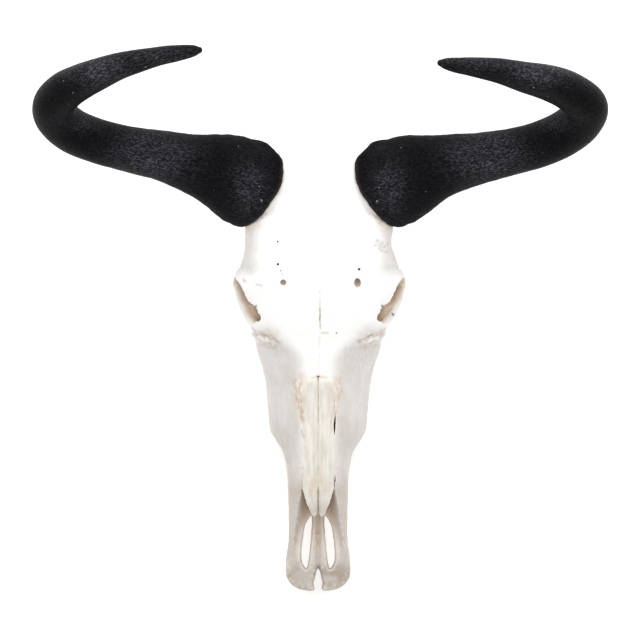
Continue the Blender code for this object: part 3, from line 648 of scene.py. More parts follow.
def bone_forms(side):
    """Everything raised on one side of the head."""
    foot = floor_height(442)
    process = ((46, 448, -92), (49, 448, -122), (50, 445, -148), (48, 442, foot - 3))
    pterygoid = ((22, 268, -106), (18.5, 286, -111), (16.5, 306, -117), (16, 326, -122), (17, 340, -128))
    crest = ((0, 458, -34), (22, 456, -38), (42, 450, -52), (54, 440, -74), (54, 430, -92))
    ridge = ((36, 166, -100), (41, 195, -107), (42, 230, -112), (39, 268, -118), (34, 284, -114))
    return [
        lip_wall(side),
        *lip_bone_front(side),
        nose_bone_tip(side),
        cheek_arch(side),
        pedicle(side),
        ring_bar((side * 77, 305, -29), (side * 0.88, -0.42, 0.12), 25, 3.6),
        limb(mirrored(((58, 284, -52), (66, 296, -56), (72, 310, -58), (74, 326, -58)), side),
             ((12, 4), (14, 4), (14, 4), (12, 4)), (side * -0.3, 0, 1)),
        limb(mirrored(((80, 338, 0), (86, 333, -22), (86, 328, -56)), side),
             ((5, 7), (4, 6), (4.5, 7)), (0, 1, 0)),
        limb(mirrored(((70, 273.5, -34), (62, 268, -19), (54, 264, -8), (47, 262, -1)), side),
             ((1.6, 3), (1.8, 3.2), (1.6, 2.8), (1.2, 1.6))),
        limb(mirrored(((68, 277, -26), (59, 272.6, -9), (51, 270.6, 0), (44, 269.5, 5)), side),
             ((1.6, 2.8), (1.7, 3), (1.5, 2.6), (1.2, 1.6))),
        ball((side * 17, 459, -118), (12.5, 12.5, 17), (18, 0, side * 24)),
        limb(mirrored(process, side), ((6, 13), (5, 11), (4.5, 9), (4, 6.5)), (0, 1, 0)),
        ball((side * 31, 418, -122), (12, 19, 15), (0, side * 12, 0)),
        limb(mirrored(((38, 420, -98), (52, 424, -94), (64, 427, -90)), side),
             ((9, 9), (8, 8), (7, 7))),
        ball((side * 56, 397, -92), (17, 13, 7.5)),
        limb(mirrored(pterygoid, side), ((3, 9), (3, 13), (2.6, 16), (2.6, 13), (2.6, 6))),
        limb(mirrored(crest, side), ((4, 5), (4, 5), (4, 5), (4, 5), (4, 4)), (0, 1, 0.3)),
        limb(mirrored(ridge, side), ((6, 10), (9, 10), (10, 10), (9, 10), (5, 8))),
    ]


def middle_forms():
    """What is raised on the midline."""
    half = ((0, 118), (25, 118), (26, 82), (8, 82))
    floor = [*half, *[(-x, y) for x, y in half[:0:-1]]]
    base = ((0, 458, -124), (0, 425, -122), (0, 390, -118), (0, 350, -110), (0, 318, -100))
    vomer = (
        (84, -72), (130, -80), (200, -92), (300, -100), (320, -92),
        (290, -74), (200, -62), (130, -56), (92, -60),
    )
    return [
        slab(floor, -72.8, -68.2),
        ball((0, 464, -57), (7, 8, 10)),
        limb(base, ((14, 8), (12, 8), (12, 8), (10, 8), (8, 8))),
        slab(vomer, -1.4, 1.4, lambda y, z, x: (x, y, z)),
    ]


def small_holes():
    """Holes and slots cut after the bones are melted into one skin. None of them touches another."""
    holes = [
        limb(((0, 420, -94), (0, 450, -104), (0, 490, -110)), ((15, 13), (15, 13), (16, 14))),
    ]
    for side in BOTH:
        holes += [
            limb(mirrored(((58, 170, -86), (47, 180, -85), (38, 192, -84)), side),
                 ((3.4, 4.6), (3.2, 4.2), (2, 2.8))),
            limb(mirrored(((72, 430, -88), (60, 426, -91), (50, 423, -94)), side),
                 ((4, 4), (3.8, 3.8), (2.5, 2.5))),
        ]
    holes += [
        limb(((-37.8, 326.4, 24), (-37.8, 327.2, 14.5), (-38.2, 330, 10), (-38.4, 332.4, 8)),
             ((3.3, 3.2), (3.2, 3), (2.4, 2.2), (1.4, 1.4)), (0, 1, 0)),
        limb(((40, 326, 24), (40, 327, 14), (40.4, 331, 9.5), (41, 335, 7.5)),
             ((3.7, 5), (3.5, 4.8), (2.8, 2.8), (1.4, 1.4)), (0, 1, 0)),
    ]
    pinholes = (
        (-43.4, 346, 1.1), (-40.4, 339, 0.7), (-39, 335.6, 0.5), (-43.6, 369.6, 1.0), (41.7, 340.8, 1.4),
        (18.6, 274, 0.8),
    )
    for x, y, radius in pinholes:
        holes.append(limb(
            ((x, y, 24), (x, y, 10), (x * 1.01, y - 1, 4)), ((radius, radius),) * 3, (0, 1, 0), sides=12,
        ))
    return holes + [slit(*line) for line in SLITS]


def slit(line, widths, top, depth):
    """A narrow crack down through the bones' upper face: places in the face plane and half-widths."""
    rows = along_path([(x, y, 0, width) for (x, y), width in zip(line, widths)], 40)
    ahead = unit(np.gradient(rows[:, :2], axis=0))
    aside = np.stack([-ahead[:, 1], ahead[:, 0]], axis=1)
    rings = []
    for (x, y, _, width), (a, b) in zip(rows, aside):
        bend = 0.35 * noise.noise(Vector((x, y * 0.6, 1.0)))
        width = max(width, 0.08) * (1 + 0.5 * noise.noise(Vector((x, y * 0.9, 7.0))))
        rings.append([
            (x + a * (bend + width * share), y + b * (bend + width * share), z)
            for share, z in ((-1, top), (1, top), (1, top - 8), (0.55, depth), (-0.55, depth), (-1, top - 8))
        ])
    return closed(rings)


def below_floor():
    """All that would reach under the surface that the skull rests on."""
    block = ((-90, 380), (90, 380), (90, 480), (-90, 480))
    return closed([[(x, y, floor_height(y) - drop) for x, y in block] for drop in (30, 0)])


def fused_bones():
    """The head as one skin, before the loose bones are parted from it."""
    head = boolean(as_object("head", head_mass()), head_hollows(), solver="EXACT")
    head_skin = (points_of(head), [list(face.vertices) for face in head.data.polygons])
    bpy.data.objects.remove(head)
    forms = [head_skin, *middle_forms()]
    for side in BOTH:
        forms += bone_forms(side)
    bones = as_object("skull_bone", joined(forms))
    remesh = bones.modifiers.new("melt", "REMESH")
    remesh.mode = "VOXEL"
    remesh.voxel_size = BONE_VOXEL
    bones = largest_body(applied(bones))
    boolean(bones, [joined([lip_window(side), orbit_bite(side)]) for side in BOTH])
    points = softened(points_of(bones), edges_of(bones), 6)
    # the step where the lip bones' walls leave the solid head is smoothed more than the rest
    u, v, w = points.T
    step = bell((v - HEAD_SECTIONS[0][0]) / 6) * smooth(np.abs(u), 18, 22) * smooth(w, -60, -50)
    smoother = softened(points, edges_of(bones), 40)
    move_points(bones, points + (smoother - points) * step[:, None])
    return boolean(bones, [joined(small_holes()), below_floor()])


# The sutures that part the loose bones from the head


def wavy(outline, grow, centre, size=0.35):
    """An outline drawn smooth and a little uneven, and grown away from its centre line by grow."""
    ring = rounded_ring(outline, 220)
    along = np.roll(ring, -1, axis=0) - np.roll(ring, 1, axis=0)
    normal = unit(np.stack([along[:, 1], -along[:, 0]], axis=1))
    if ((ring - centre) * normal).sum() < 0:
        normal = -normal
    uneven = np.array([noise.noise(Vector((x * 0.45, y * 0.45, 3.0))) for x, y in ring])
    free = np.abs(ring[:, 0]) > 1.5
    return ring + normal * ((uneven * size * free) + grow)[:, None]


def nose_bone_region(side, grow):
    """The outline of a nose bone seen from the front, as deep as the roof of the nose."""
    edge = 0.13 if grow == 0 else -0.5
    outline = (
        (edge, 74), (6, 74), (12, 74), (15.5, 88), (17.2, 103), (17.4, 112), (15.8, 132), (15.2, 150),
        (15.3, 166), (15.8, 180), (17.3, 196), (17.4, 207), (15.6, 217), (12, 223), (7.5, 226.4),
        (3.2, 227.8), (edge, 228.2), (edge, 226), (edge, 200), (edge, 170), (edge, 140), (edge, 110),
    )
    ring = wavy(outline, grow, (8, 150))
    ring[:, 0] = np.maximum(ring[:, 0], edge)
    under = -5.5 - grow - 0.02 * np.abs(ring[:, 1] - 150) - 6 * smooth((114 - ring[:, 1]) / 20)
    return closed([
        [(side * x, y, z) for (x, y), z in zip(ring, level)] for level in (under, np.full(len(ring), 20.0))
    ])


def lip_bone_region(side, grow):
    """What lies in front of the slanting seam behind the upper lip bones, on one side."""
    edge = 0.12 if grow == 0 else -0.5
    seam = along_path([(y, z, 0) for y, z in LIP_SEAM], 60)
    uneven = [1.1 * noise.noise(Vector((0.2 * y, 0.2 * z, side * 5.0))) for y, z, _ in seam]
    outline = [(-20, -110), *[(y + bend + grow, z) for (y, z, _), bend in zip(seam, uneven)], (-20, 4)]
    return closed([[(side * x, y, z) for y, z in outline] for x in (edge, 60)])


# Horns


def horn_rings(path, side, count, sides, grow=0.0):
    """Rings of points round a horn, with each ring's distance from the base."""
    nodes = (*HORN_BASE_CENTRE, *HORN_BASE_HALVES), *path
    rows = along_path([(side * x, y, z, a, b) for x, y, z, a, b in nodes], count)
    centres = rows[:, :3]
    ahead = unit(np.gradient(centres, axis=0))
    base_first, base_second, curl = np.array(mirrored(HORN_BASE_AXES, side), float)
    travel = np.linspace(0, 1, count)
    angle = 2 * math.pi * np.arange(sides) / sides
    full = np.array([fuller_circle(a) for a in angle])
    plain = np.stack([np.cos(angle), np.sin(angle)], axis=1)
    first = np.array((0.0, 1.0, 0.0))
    rings = []
    for k in range(count):
        first = unit(first - ahead[k] * (first @ ahead[k]))
        second = np.cross(ahead[k], first) * side
        blend = 1 - smooth(travel[k] / HORN_BASE_BLEND)
        a_axis = first * rows[k, 3] * (1 - blend) + base_first * blend
        b_axis = second * rows[k, 4] * (1 - blend) + base_second * blend
        xy = plain * (1 - blend) + full * blend
        spokes = xy[:, :1] * a_axis + xy[:, 1:] * b_axis + curl * xy[:, 1:] ** 2 * blend
        rings.append(centres[k] + spokes + unit(spokes) * grow)
    distance = np.concatenate([[0], np.cumsum(np.linalg.norm(np.diff(centres, axis=0), axis=1))])
    return np.array(rings), centres, ahead, distance


def horn_seat(path, side):
    """The horn grown by the seam's width, which is cut from the bone."""
    rings, centres, ahead, _ = horn_rings(path, side, 40, 64, HORN_GAP)
    lip = centres[0] + (rings[0] - centres[0]) * 0.95 - ahead[0] * (3 + HORN_GAP)
    return closed([lip, *rings[:14]])


def horn_sheath(name, path, side):
    """A horn sheath with its rough base, its rim and the grain that its material follows."""
    count, sides = HORN_RINGS, HORN_SIDES
    rings, centres, ahead, distance = horn_rings(path, side, count, sides)
    spokes = rings - centres[:, None]
    length = np.linalg.norm(spokes, axis=2)
    outward = spokes / length[..., None]
    angle = 2 * math.pi * np.arange(sides) / sides
    along = np.repeat(distance[:, None], sides, axis=1)
    spots = np.stack([
        np.cos(angle) * length, np.sin(angle) * length, along,
    ], axis=-1)
    flat = spots.reshape(-1, 3)
    seed = 2.0 + side
    near_base = 1 - smooth(along, 30, 210)
    lumps = rough(flat, 30, 3, seed).reshape(count, sides) * (0.3 + 0.4 * near_base)
    pebbles = rough(flat * (1, 1, 0.5), 4.2, 2, seed + 1).reshape(count, sides) * 0.32 * (0.15 + near_base)
    waves = np.sin(along / 2.6 + 1.8 * rough(flat, 60, 2, seed + 2).reshape(count, sides)) * 0.14 * near_base
    rim = 0.25 * bell((along - 4) / 4) - 0.3 * bell((along - 12) / 4.5)
    tip = smooth(length, 2, 12)
    rings = rings + outward * ((lumps + pebbles + waves + rim) * tip)[..., None]
    ragged = rough(flat, 9, 3, seed + 3).reshape(count, sides) * 1.1 * (1 - smooth(along, 0, 10))
    rings = rings + ahead[0] * ragged[..., None]
    back = ahead[0]
    lips = [
        centres[0] + (rings[0] - centres[0]) * share - back * drop
        for share, drop in ((0.93, 3.0), (0.965, 2.4), (0.99, 1.2))
    ]
    end = length[-1].mean()
    caps = [
        centres[-1] + (rings[-1] - centres[-1]) * share + ahead[-1] * end * rise
        for share, rise in ((0.87, 0.5), (0.6, 0.85), (0.3, 1.0))
    ]
    skin = closed([*lips, *rings, *caps])
    obj = as_object(name, skin)
    grain = np.vstack([
        *[spots[0] - (0, 0, drop) for drop in (3.0, 2.4, 1.2)], flat, *[spots[-1]] * 3,
        (0, 0, -3), (0, 0, distance[-1]),
    ])
    set_attribute(obj, "grain", grain)
    set_attribute(obj, "along", grain[:, 2] / distance[-1])
    u, v, _ = points_of(obj).T
    # grey patches of painted sheen on the horns
    set_attribute(obj, "wear_and_painted_sheen", np.maximum.reduce([
        share * bell((np.abs(u) - x) / wide, (v - y) / long) for x, y, wide, long, share in HORN_PAINTED_SHEEN
    ]))
    return obj


# Teeth


def tooth(name, index, side):
    """A cheek tooth: ribs down its outer side, a cleft inside, and crescents ground down by wear where it
    rests.
    """
    _, length, width, across = TEETH[index]
    start = TOOTH_ROW_START + sum(t[1] + TOOTH_SPACE for t in TEETH[:index])
    middle = start + length / 2
    half_long, half_wide = length / 2, width / 2
    molar = index >= 3
    angle = 2 * math.pi * (np.arange(72) + 0.5) / 72
    x = np.sign(np.cos(angle)) * np.abs(np.cos(angle)) ** 0.62
    y = np.sign(np.sin(angle)) * np.abs(np.sin(angle)) ** 0.62
    outer, inner = smooth(x, 0.2, 0.8), smooth(-x, 0.2, 0.8)
    ribs = np.cos(y * math.pi * (2 if molar else 1)) * 0.055
    clefts = -0.2 * bell(y / 0.16) * (1 if molar else 0.25)
    x = x * (0.94 + outer * ribs + inner * clefts)

    def ring(rise, size, lift=0.0):
        along = middle + y * half_long * min(1.0, size + 0.03)
        level = np.array([floor_height(a) for a in along])
        return np.stack([side * (across + x * half_wide * size), along, level + rise + lift], axis=1)

    crown = [ring(0.05 + depth, 0.94 * share) for share, depth in (
        (0.1, 1.4), (0.3, 1.7), (0.42, 0.5), (0.5, 0.5), (0.62, 1.3), (0.78, 1.1), (0.9, 0.2), (0.98, 0.0),
    )]
    walls = [ring(rise, size) for rise, size in (
        (0.4, 0.96), (2, 0.97), (5, 0.99), (8, 1.0), (12, 0.99), (17, 0.965), (22, 0.94), (29, 0.87),
        (22 + TOOTH_ROOT_DEPTH, 0.8),
    )]
    obj = as_object(name, closed([*crown, *walls]))
    points = points_of(obj)
    rise = points[:, 2] - np.array([floor_height(a) for a in points[:, 1]])
    bumps = rough(points, 3.0, 2, index) * 0.12 * smooth(rise, 1, 3)
    move_points(obj, points + normals_of(obj) * bumps[:, None])
    # on a tooth this tint is its wear only
    set_attribute(obj, "wear_and_painted_sheen", 1 - smooth(rise, 0.3, 2.2))
    set_attribute(obj, "neck", smooth(rise, 8, 24))
    return obj


# Relief and colour of the bones


class Mark:
    """A line on the upper face of the bones, as (across, along) points, which is raised or sunk and tinted.

    A tint below 0 keeps that tint away from the line.
    """

    def __init__(self, line, width, height=0.0, broken=0.0, **tints):
        self.line, self.width, self.height = np.array(line, float), width, height
        self.broken, self.tints = broken, tints

    def share(self, flat):
        """1 on the line, falling to 0 beside it."""
        nearest = np.full(len(flat), np.inf)
        for a, b in zip(self.line, self.line[1:]):
            t = np.clip(((flat - a) @ (b - a)) / ((b - a) @ (b - a)), 0, 1)
            nearest = np.minimum(nearest, np.linalg.norm(flat - a - t[:, None] * (b - a), axis=1))
        return bell(nearest / self.width)


def both_sides(line, *args, **kwargs):
    return [Mark([(side * x, y) for x, y in line], *args, **kwargs) for side in BOTH]


MARKS = [
    # the faint run of the forehead's seam, up to the crown and on to the nose
    Mark(((0.2, 318), (0.6, 306), (1.0, 292), (1.6, 279)), 0.9, -0.4, tan=0.1, grey=0.5, broken=0.4),
    Mark(((1.6, 279), (1.0, 262), (1.2, 246), (0.6, 229)), 1.0, -0.3, tan=0.3, broken=0.8),
    Mark(((0.2, 318), (0.4, 340), (0.9, 372)), 1.0, -0.15, broken=0.9),
    # grooves that run forward from the two holes above the eyes
    Mark(((-36, 320), (-33, 311), (-30, 302)), 1.8, -0.4, tan=0.08),
    Mark(((39, 318), (37, 310), (34, 301)), 1.8, -0.3, tan=0.06),
    Mark(((3, 274.2), (6, 273.6), (9.5, 274.4)), 1.2, -0.35, tan=0.3, grey=0.5),
    Mark(((-80, 329), (-78.5, 328)), 1.6, -0.3, grey=1.0, dark=0.1),
    Mark(((-65, 325), (-60, 324)), 1.4, -0.2, grey=0.8),
    # pits in a grey patch beside the right horn
    Mark(((66.5, 362), (64, 368)), 5.5, 0.0, grey=0.6),
    Mark(((78.6, 293.4), (79, 293)), 1.5, -0.8, dark=1.2),
    *[Mark(((x, y), (x + 0.6, y + 0.5)), 1.2, -0.5, grey=1.0, dark=0.1) for x, y in (
        (68, 364), (64.5, 367.5), (61, 370), (66, 359.5), (69.5, 359), (62.5, 362.5), (71, 367), (58.5, 366),
    )],
    # the gap between the nose bones
    Mark(((0, 228), (0, 215), (0, 200), (0, 181)), 1.2, -0.5, tan=0.6, broken=0.3),
    Mark(((0, 181), (0, 150), (0, 112)), 1.0, -0.2, tan=0.25, grey=0.8, broken=0.35),
    Mark(((0, 112), (0, 96), (0, 80)), 1.2, -0.3, dark=0.35, tan=0.5),
    # old sutures beside the nose bones
    Mark(((-25, 224), (-24.6, 216), (-22.5, 206), (-19, 194), (-17, 182)), 1.8, -0.9, tan=1.0, broken=0.4),
    Mark(((-17.5, 224), (-20, 214), (-18.5, 204), (-17.5, 192)), 1.5, -0.7, tan=0.9, dark=0.06, broken=0.5),
    Mark(((23, 226), (24.6, 216), (22, 204), (18.8, 190)), 1.6, -0.8, tan=0.8, broken=0.5),
    Mark(((19.5, 224), (20.3, 214), (19, 202)), 1.4, -0.6, tan=0.7, dark=0.05, broken=0.5),
    Mark(((-17.4, 200), (-16.2, 184), (-15.6, 174), (-15.6, 164)), 0.7, 0.0, tan=0.6, dark=0.45, broken=0.8),
    Mark(((17.6, 214), (17.6, 204), (17, 190)), 0.7, 0.0, tan=0.5, dark=0.3, broken=0.8),
    Mark(((-15.8, 166), (-15.6, 150), (-16.4, 132)), 1.3, -0.25, tan=0.35, broken=0.5),
    Mark(((16.9, 166), (16.2, 150), (16.8, 132)), 1.3, -0.25, tan=0.3, broken=0.5),
    Mark(((-1.8, 229.2), (2.2, 229.4)), 0.7, -0.3, dark=0.3, tan=0.3),
    Mark(((-17, 216), (-15.5, 222), (-10, 227), (0, 229), (10, 227), (16, 221), (18, 213)), 1.6, -0.3,
         tan=0.6, broken=0.6),
    *both_sides(((28, 214), (31, 200), (32, 180)), 4.0, 0.6, tan=0.1),
    # the folds below the eye sockets, with furrows between them: the furrows and a band below the folds take
    # painted shade in grey, tan and brown, and the fold tops are kept bare of it
    *both_sides(((72, 273), (68, 268.5), (64.5, 265)), 1.7, 1.5, broken=0.2, tan=-0.9, grey=-0.7),
    *both_sides(((62.5, 270.4), (57.3, 267.8), (52, 265.2)), 1.8, 1.5, broken=0.2, tan=-0.9, grey=-0.7),
    *both_sides(((70.8, 278), (61, 273.6), (50, 270), (43.4, 265)), 1.6, -0.9, tan=0.15, grey=1.0, dark=0.1,
                broken=0.3),
    *both_sides(((68, 273), (57, 271.2), (49.5, 266.5)), 1.1, -0.9, tan=0.3, grey=1.0, dark=0.18, broken=0.4),
    *both_sides(((69, 271), (63.5, 265.8), (57, 263.6), (50, 262.6)), 1.3, -0.9, tan=0.3, grey=1.0, dark=0.16,
                broken=0.4),
    *both_sides(((66, 262), (56, 259.5), (46, 259)), 4.0, 0.0, tan=0.12, grey=1.0, dark=0.04),
    # the step from the forehead down to the cheeks, with a band of painted grey shade along it
    *both_sides(((43.4, 265), (37, 257), (32, 250.6)), 4.8, -0.5, grey=0.9, broken=0.3),
    # what the horns' rims have stained
    *both_sides(((81, 386), (72, 384.5), (64, 389)), 4.5, -0.2, tan=0.5, dark=0.05, broken=0.3),
    *both_sides(((64, 391), (57, 402), (50, 417), (40, 442)), 3.2, -0.1, tan=0.22, broken=0.7),
]

# Little knobs along the cracks beside the nose bones: across, along, radius and height
KNOBS = (
    (-19.4, 223, 1.8, 1.0), (-20.6, 218.5, 1.6, 0.8), (-18.6, 213.5, 1.5, 0.7), (-19.6, 206.5, 1.7, 0.7),
    (-18.0, 199.5, 1.6, 0.8), (-18.9, 192.5, 1.5, 0.7), (-16.9, 187.5, 1.7, 0.9), (-22.6, 222, 1.5, 0.6),
    (19.3, 222, 1.6, 0.7), (21.8, 217.5, 1.6, 1.0), (19.0, 211, 1.5, 0.6), (19.4, 203, 1.5, 0.6),
    (18.4, 194, 1.6, 0.6), (-13, 228.5, 1.6, 0.6), (12.5, 228.8, 1.6, 0.6), (-7, 231, 1.4, 0.5),
    (8, 231.2, 1.4, 0.5),
)


def dress_bone(obj):
    """Moves a bone's points for its relief, and writes the tints that its material reads, painted shade and
    painted highlight among them.
    """
    points, normals, edges = points_of(obj), normals_of(obj), edges_of(obj)
    u, v, w = points.T
    aside = np.abs(u)
    upper = smooth(normals[:, 2], 0.05, 0.3) * smooth(w, -58, -46)
    lift = np.zeros(len(points))
    tints = {name: np.zeros(len(points)) for name in ("grey", "tan", "dark")}
    bare = {name: np.zeros(len(points)) for name in tints}
    gaps = rough(points, 5, 2, 4)
    wander = np.stack([rough(points, 6, 2, 11), rough(points, 6, 2, 12)], axis=1)
    flat = points[:, :2] + wander * (0.3 + 1.7 * smooth(aside, 6, 22))[:, None]
    for mark in MARKS:
        share = mark.share(flat) * upper * (1 - mark.broken * smooth(gaps, -0.1, 0.35))
        lift += mark.height * share
        for name, value in mark.tints.items():
            kept = tints if value > 0 else bare
            kept[name] = np.maximum(kept[name], abs(value) * share)
    for x, y, radius, height in KNOBS:
        lift += height * bell((u - x) / radius, (v - y) / radius) * upper
    # a crack beside a nose bone isn't widened by the grooves along it
    seam = np.interp(v, *NOSE_SEAM)
    by_seam = bell((aside - seam) / 2.2) * band(v, 126, 134, 230, 234)
    lift = np.where(lift < 0, lift * (1 - by_seam), lift)

    # the nose bones stand a little proud of the cheeks, each with its own rounded back
    roof = upper * smooth(w, -22, -12)
    inside = until(aside, 14.5, 17.5) * band(v, 84, 100, 222, 228) * roof
    lift += inside * (0.2 + 1.3 * np.clip(1 - ((aside - 8) / 8.5) ** 2, 0, 1))

    # uneven bone: broad swells, small bumps, fibres, and rough patches at the folds and the muzzle
    side_face = smooth(aside, 20, 60)
    rugged = bell((aside - 58) / 15, (v - 271) / 9)
    lift += rough(points, 26, 3, 1) * 0.5 * smooth(w, -150, 0) * side_face
    lift += rough(points, 9, 3, 2) * (0.10 + 0.22 * side_face)
    lift += rough(points * (1, 0.35, 1), 3.2, 2, 3) * (0.05 + 0.12 * side_face)
    lift += rough(points, 3.6, 3, 5) * 0.8 * rugged
    lift += rough(points, 3.0, 2, 6) * 0.35 * until(v, 66, 96)
    points = points + normals * lift[:, None]
    move_points(obj, points)

    # painted shade in dents and painted highlight on edges, from how far each point lies off its neighbours
    normals = normals_of(obj)
    near = np.einsum("ij,ij->i", softened(points, edges, 10) - points, normals)
    wide = np.einsum("ij,ij->i", softened(points, edges, 70) - points, normals)
    seam_places, seam_levels = zip(*LIP_SEAM)
    off_seam = 1 - bell((v - np.interp(w, seam_levels, seam_places)) / 3.5)
    painted_hollow_shade = np.clip((smooth(near, 0.05, 0.6) * 0.6 + smooth(wide, 0.2, 2.2) * 0.7) * off_seam, 0, 1)

    # where the parts of the skull are, each as a share from 0 to 1
    patches = smooth(rough(points, 14, 3, 8), -0.35, 0.35)
    nose_back = inside * until(aside, 15, 17)
    # the cheeks beyond the forehead's white take painted grey shade
    cheek = until(v, 252, 282) * smooth((aside - np.interp(v, *WHITE_HALF)) / 20) * (1 - 0.6 * nose_back)
    cheek = cheek * (0.8 + 0.2 * until(v, 150, 200))
    # the muzzle takes painted grey shade, with a little painted tan and brown
    front = until(v, 104, 150) * (1 - 0.7 * nose_back)
    # painted grey shade on the sides of the forehead by the horns
    painted_temple_shade = 0.75 * smooth(aside, 58, 74) * band(v, 328, 345, 380, 400)
    bite_across, bite_along = zip(*ORBIT_BITE[11:0:-1])
    past = aside - np.interp(v, bite_along, bite_across)
    seen = smooth(past, -2.0, 0.5) * (1 - 0.75 * smooth(past, 3, 14)) * band(v, 282, 288, 330, 334)
    socket = bell((aside - 66) / 16, (v - 306) / 22, (w + 34) / 24)
    inner_eye = np.maximum(smooth(socket, 0.2, 0.6), seen) * until(w, -8, -1)
    ridge = np.interp(v, *zip(*[(row[0], row[2]) for row in LIP_WALL[::-1]]))
    slope = smooth(ridge - aside, -1, 4) * band(w, -78, -66, -18, -8) * band(v, 26, 52, 114, 126)
    rods = until(aside, 8, 10) * until(v, 84, 98)
    inner_nose = until(aside, 18, 22) * until(w, -10, -3) * band(v, 88, 112, 240, 280)
    nose_sides = bell((aside - 18) / 7) * band(v, 170, 205, 228, 240) * roof
    nose_ends = bell((v - 118) / 15) * until(aside, 16, 20) * roof
    pits = bell((u - 65) / 9, (v - 364) / 9)
    specks = smooth(rough(points, 2.4, 2, 9), 0.12, 0.4) * bell((aside - ridge) / 3.2)

    # grey: painted shade on the cheeks, the muzzle, the temples and around the folds, and the grey of some
    # marks
    grey = np.maximum.reduce([tints["grey"], cheek, front, painted_temple_shade, rugged * (0.65 + 0.35 * patches)])
    # tan: the bone's stains, with painted shade on down-facing faces, on the muzzle and around the folds
    tan = np.maximum.reduce([
        tints["tan"], inner_eye * 0.9, slope * (0.5 + 0.3 * smooth(v, 60, 90)), inner_nose * 0.9,
        0.45 * smooth(-normals[:, 2], 0.2, 0.9), 0.55 * nose_sides * (0.3 + 0.7 * patches),
        0.3 * nose_ends * patches, 0.2 * front, 0.45 * until(v, 12, 44) * (0.4 + 0.6 * patches),
        0.35 * rugged * (0.3 + 0.7 * patches),
    ])
    # dark: specks, seams and stains of the bone, and painted shade on the cheeks and the muzzle, painted
    # shadow under the eye sockets' rims and painted shade deep in the nasal cavity
    dark = np.maximum.reduce([
        tints["dark"], 0.42 * specks * band(v, 34, 50, 96, 106), 0.05 * cheek * until(v, 170, 220),
        inner_eye * (0.32 * until(past, 0, 6) + 0.25 * until(aside, 62, 70)),
        0.5 * inner_nose * until(w, -40, -14) * smooth(v, 92, 116), 0.06 * slope * smooth(v, 70, 88),
        until(v, 16, 42) * (0.2 + 0.22 * patches), 0.12 * front * (1 - slope),
    ])
    # the edge tint is a painted highlight on edges and the hollow tint is painted shade in dents
    for name, values in (
        ("edge", smooth(-near, 0.08, 0.6) * off_seam),
        ("painted_hollow_shade", painted_hollow_shade * (1 - 0.8 * pits) * (1 - 0.85 * slope) * (1 - 0.5 * rods)),
        ("grey", grey * (1 - bare["grey"]) * (1 - 0.75 * slope * (1 - rods))),
        ("tan", tan * (1 - bare["tan"])), ("dark", dark),
    ):
        set_attribute(obj, name, np.clip(values, 0, 1))
    return obj


# Materials


class Paint:
    """A material's nodes, made by short calls: an input is a value or another node's output."""

    def __init__(self, name):
        self.material = bpy.data.materials.new(name)
        self.material.use_nodes = True
        self.tree = self.material.node_tree
        self.shader = self.tree.nodes["Principled BSDF"]

    def give(self, socket, value):
        if isinstance(value, bpy.types.NodeSocket):
            self.tree.links.new(value, socket)
        else:
            socket.default_value = value

    def add(self, kind, inputs, out=0, **settings):
        made = self.tree.nodes.new("ShaderNode" + kind)
        for key, value in settings.items():
            setattr(made, key, value)
        for key, value in inputs.items():
            self.give(made.inputs[key], value)
        return made.outputs[out]

    def attribute(self, name, out="Fac"):
        return self.add("Attribute", {}, out, attribute_name=name)

    def place(self, stretch=(1, 1, 1), vector=None):
        """Coordinates to read noise at: the row frame's unless a vector is given."""
        if vector is None:
            vector = self.add("TexCoord", {}, "Object")
        return self.add("Mapping", {"Vector": vector, "Scale": stretch})

    def noise(self, vector, scale, detail, roughness):
        return self.add("TexNoise", {
            "Vector": vector, "Scale": scale, "Detail": detail, "Roughness": roughness,
        })

    def remap(self, value, low, high, to_low=0.0, to_high=1.0):
        return self.add("MapRange", {
            "Value": value, "From Min": low, "From Max": high, "To Min": to_low, "To Max": to_high,
        })

    def times(self, a, b):
        return self.add("Math", {0: a, 1: b}, operation="MULTIPLY", use_clamp=True)

    def blend(self, share, a, b):
        return self.add("Mix", {"Factor": share, "A": a, "B": b}, "Result", data_type="RGBA")

    def bump(self, height, strength, distance, below=None):
        inputs = {"Height": height, "Strength": strength, "Distance": distance}
        if below is not None:
            inputs["Normal"] = below
        return self.add("Bump", inputs)

    def finish(self, colour, roughness, normal, **fixed):
        self.give(self.shader.inputs["Base Color"], colour)
        self.give(self.shader.inputs["Roughness"], roughness)
        self.give(self.shader.inputs["Normal"], normal)
        for key, value in fixed.items():
            self.shader.inputs[key.replace("_", " ")].default_value = value
        return self.material


def rgb(red, green, blue):
    """A colour given as it shows on a screen, from 0 to 255."""
    shares = [c / 255 for c in (red, green, blue)]
    return (*(((c + 0.055) / 1.055) ** 2.4 if c > 0.04 else c / 12.92 for c in shares), 1.0)


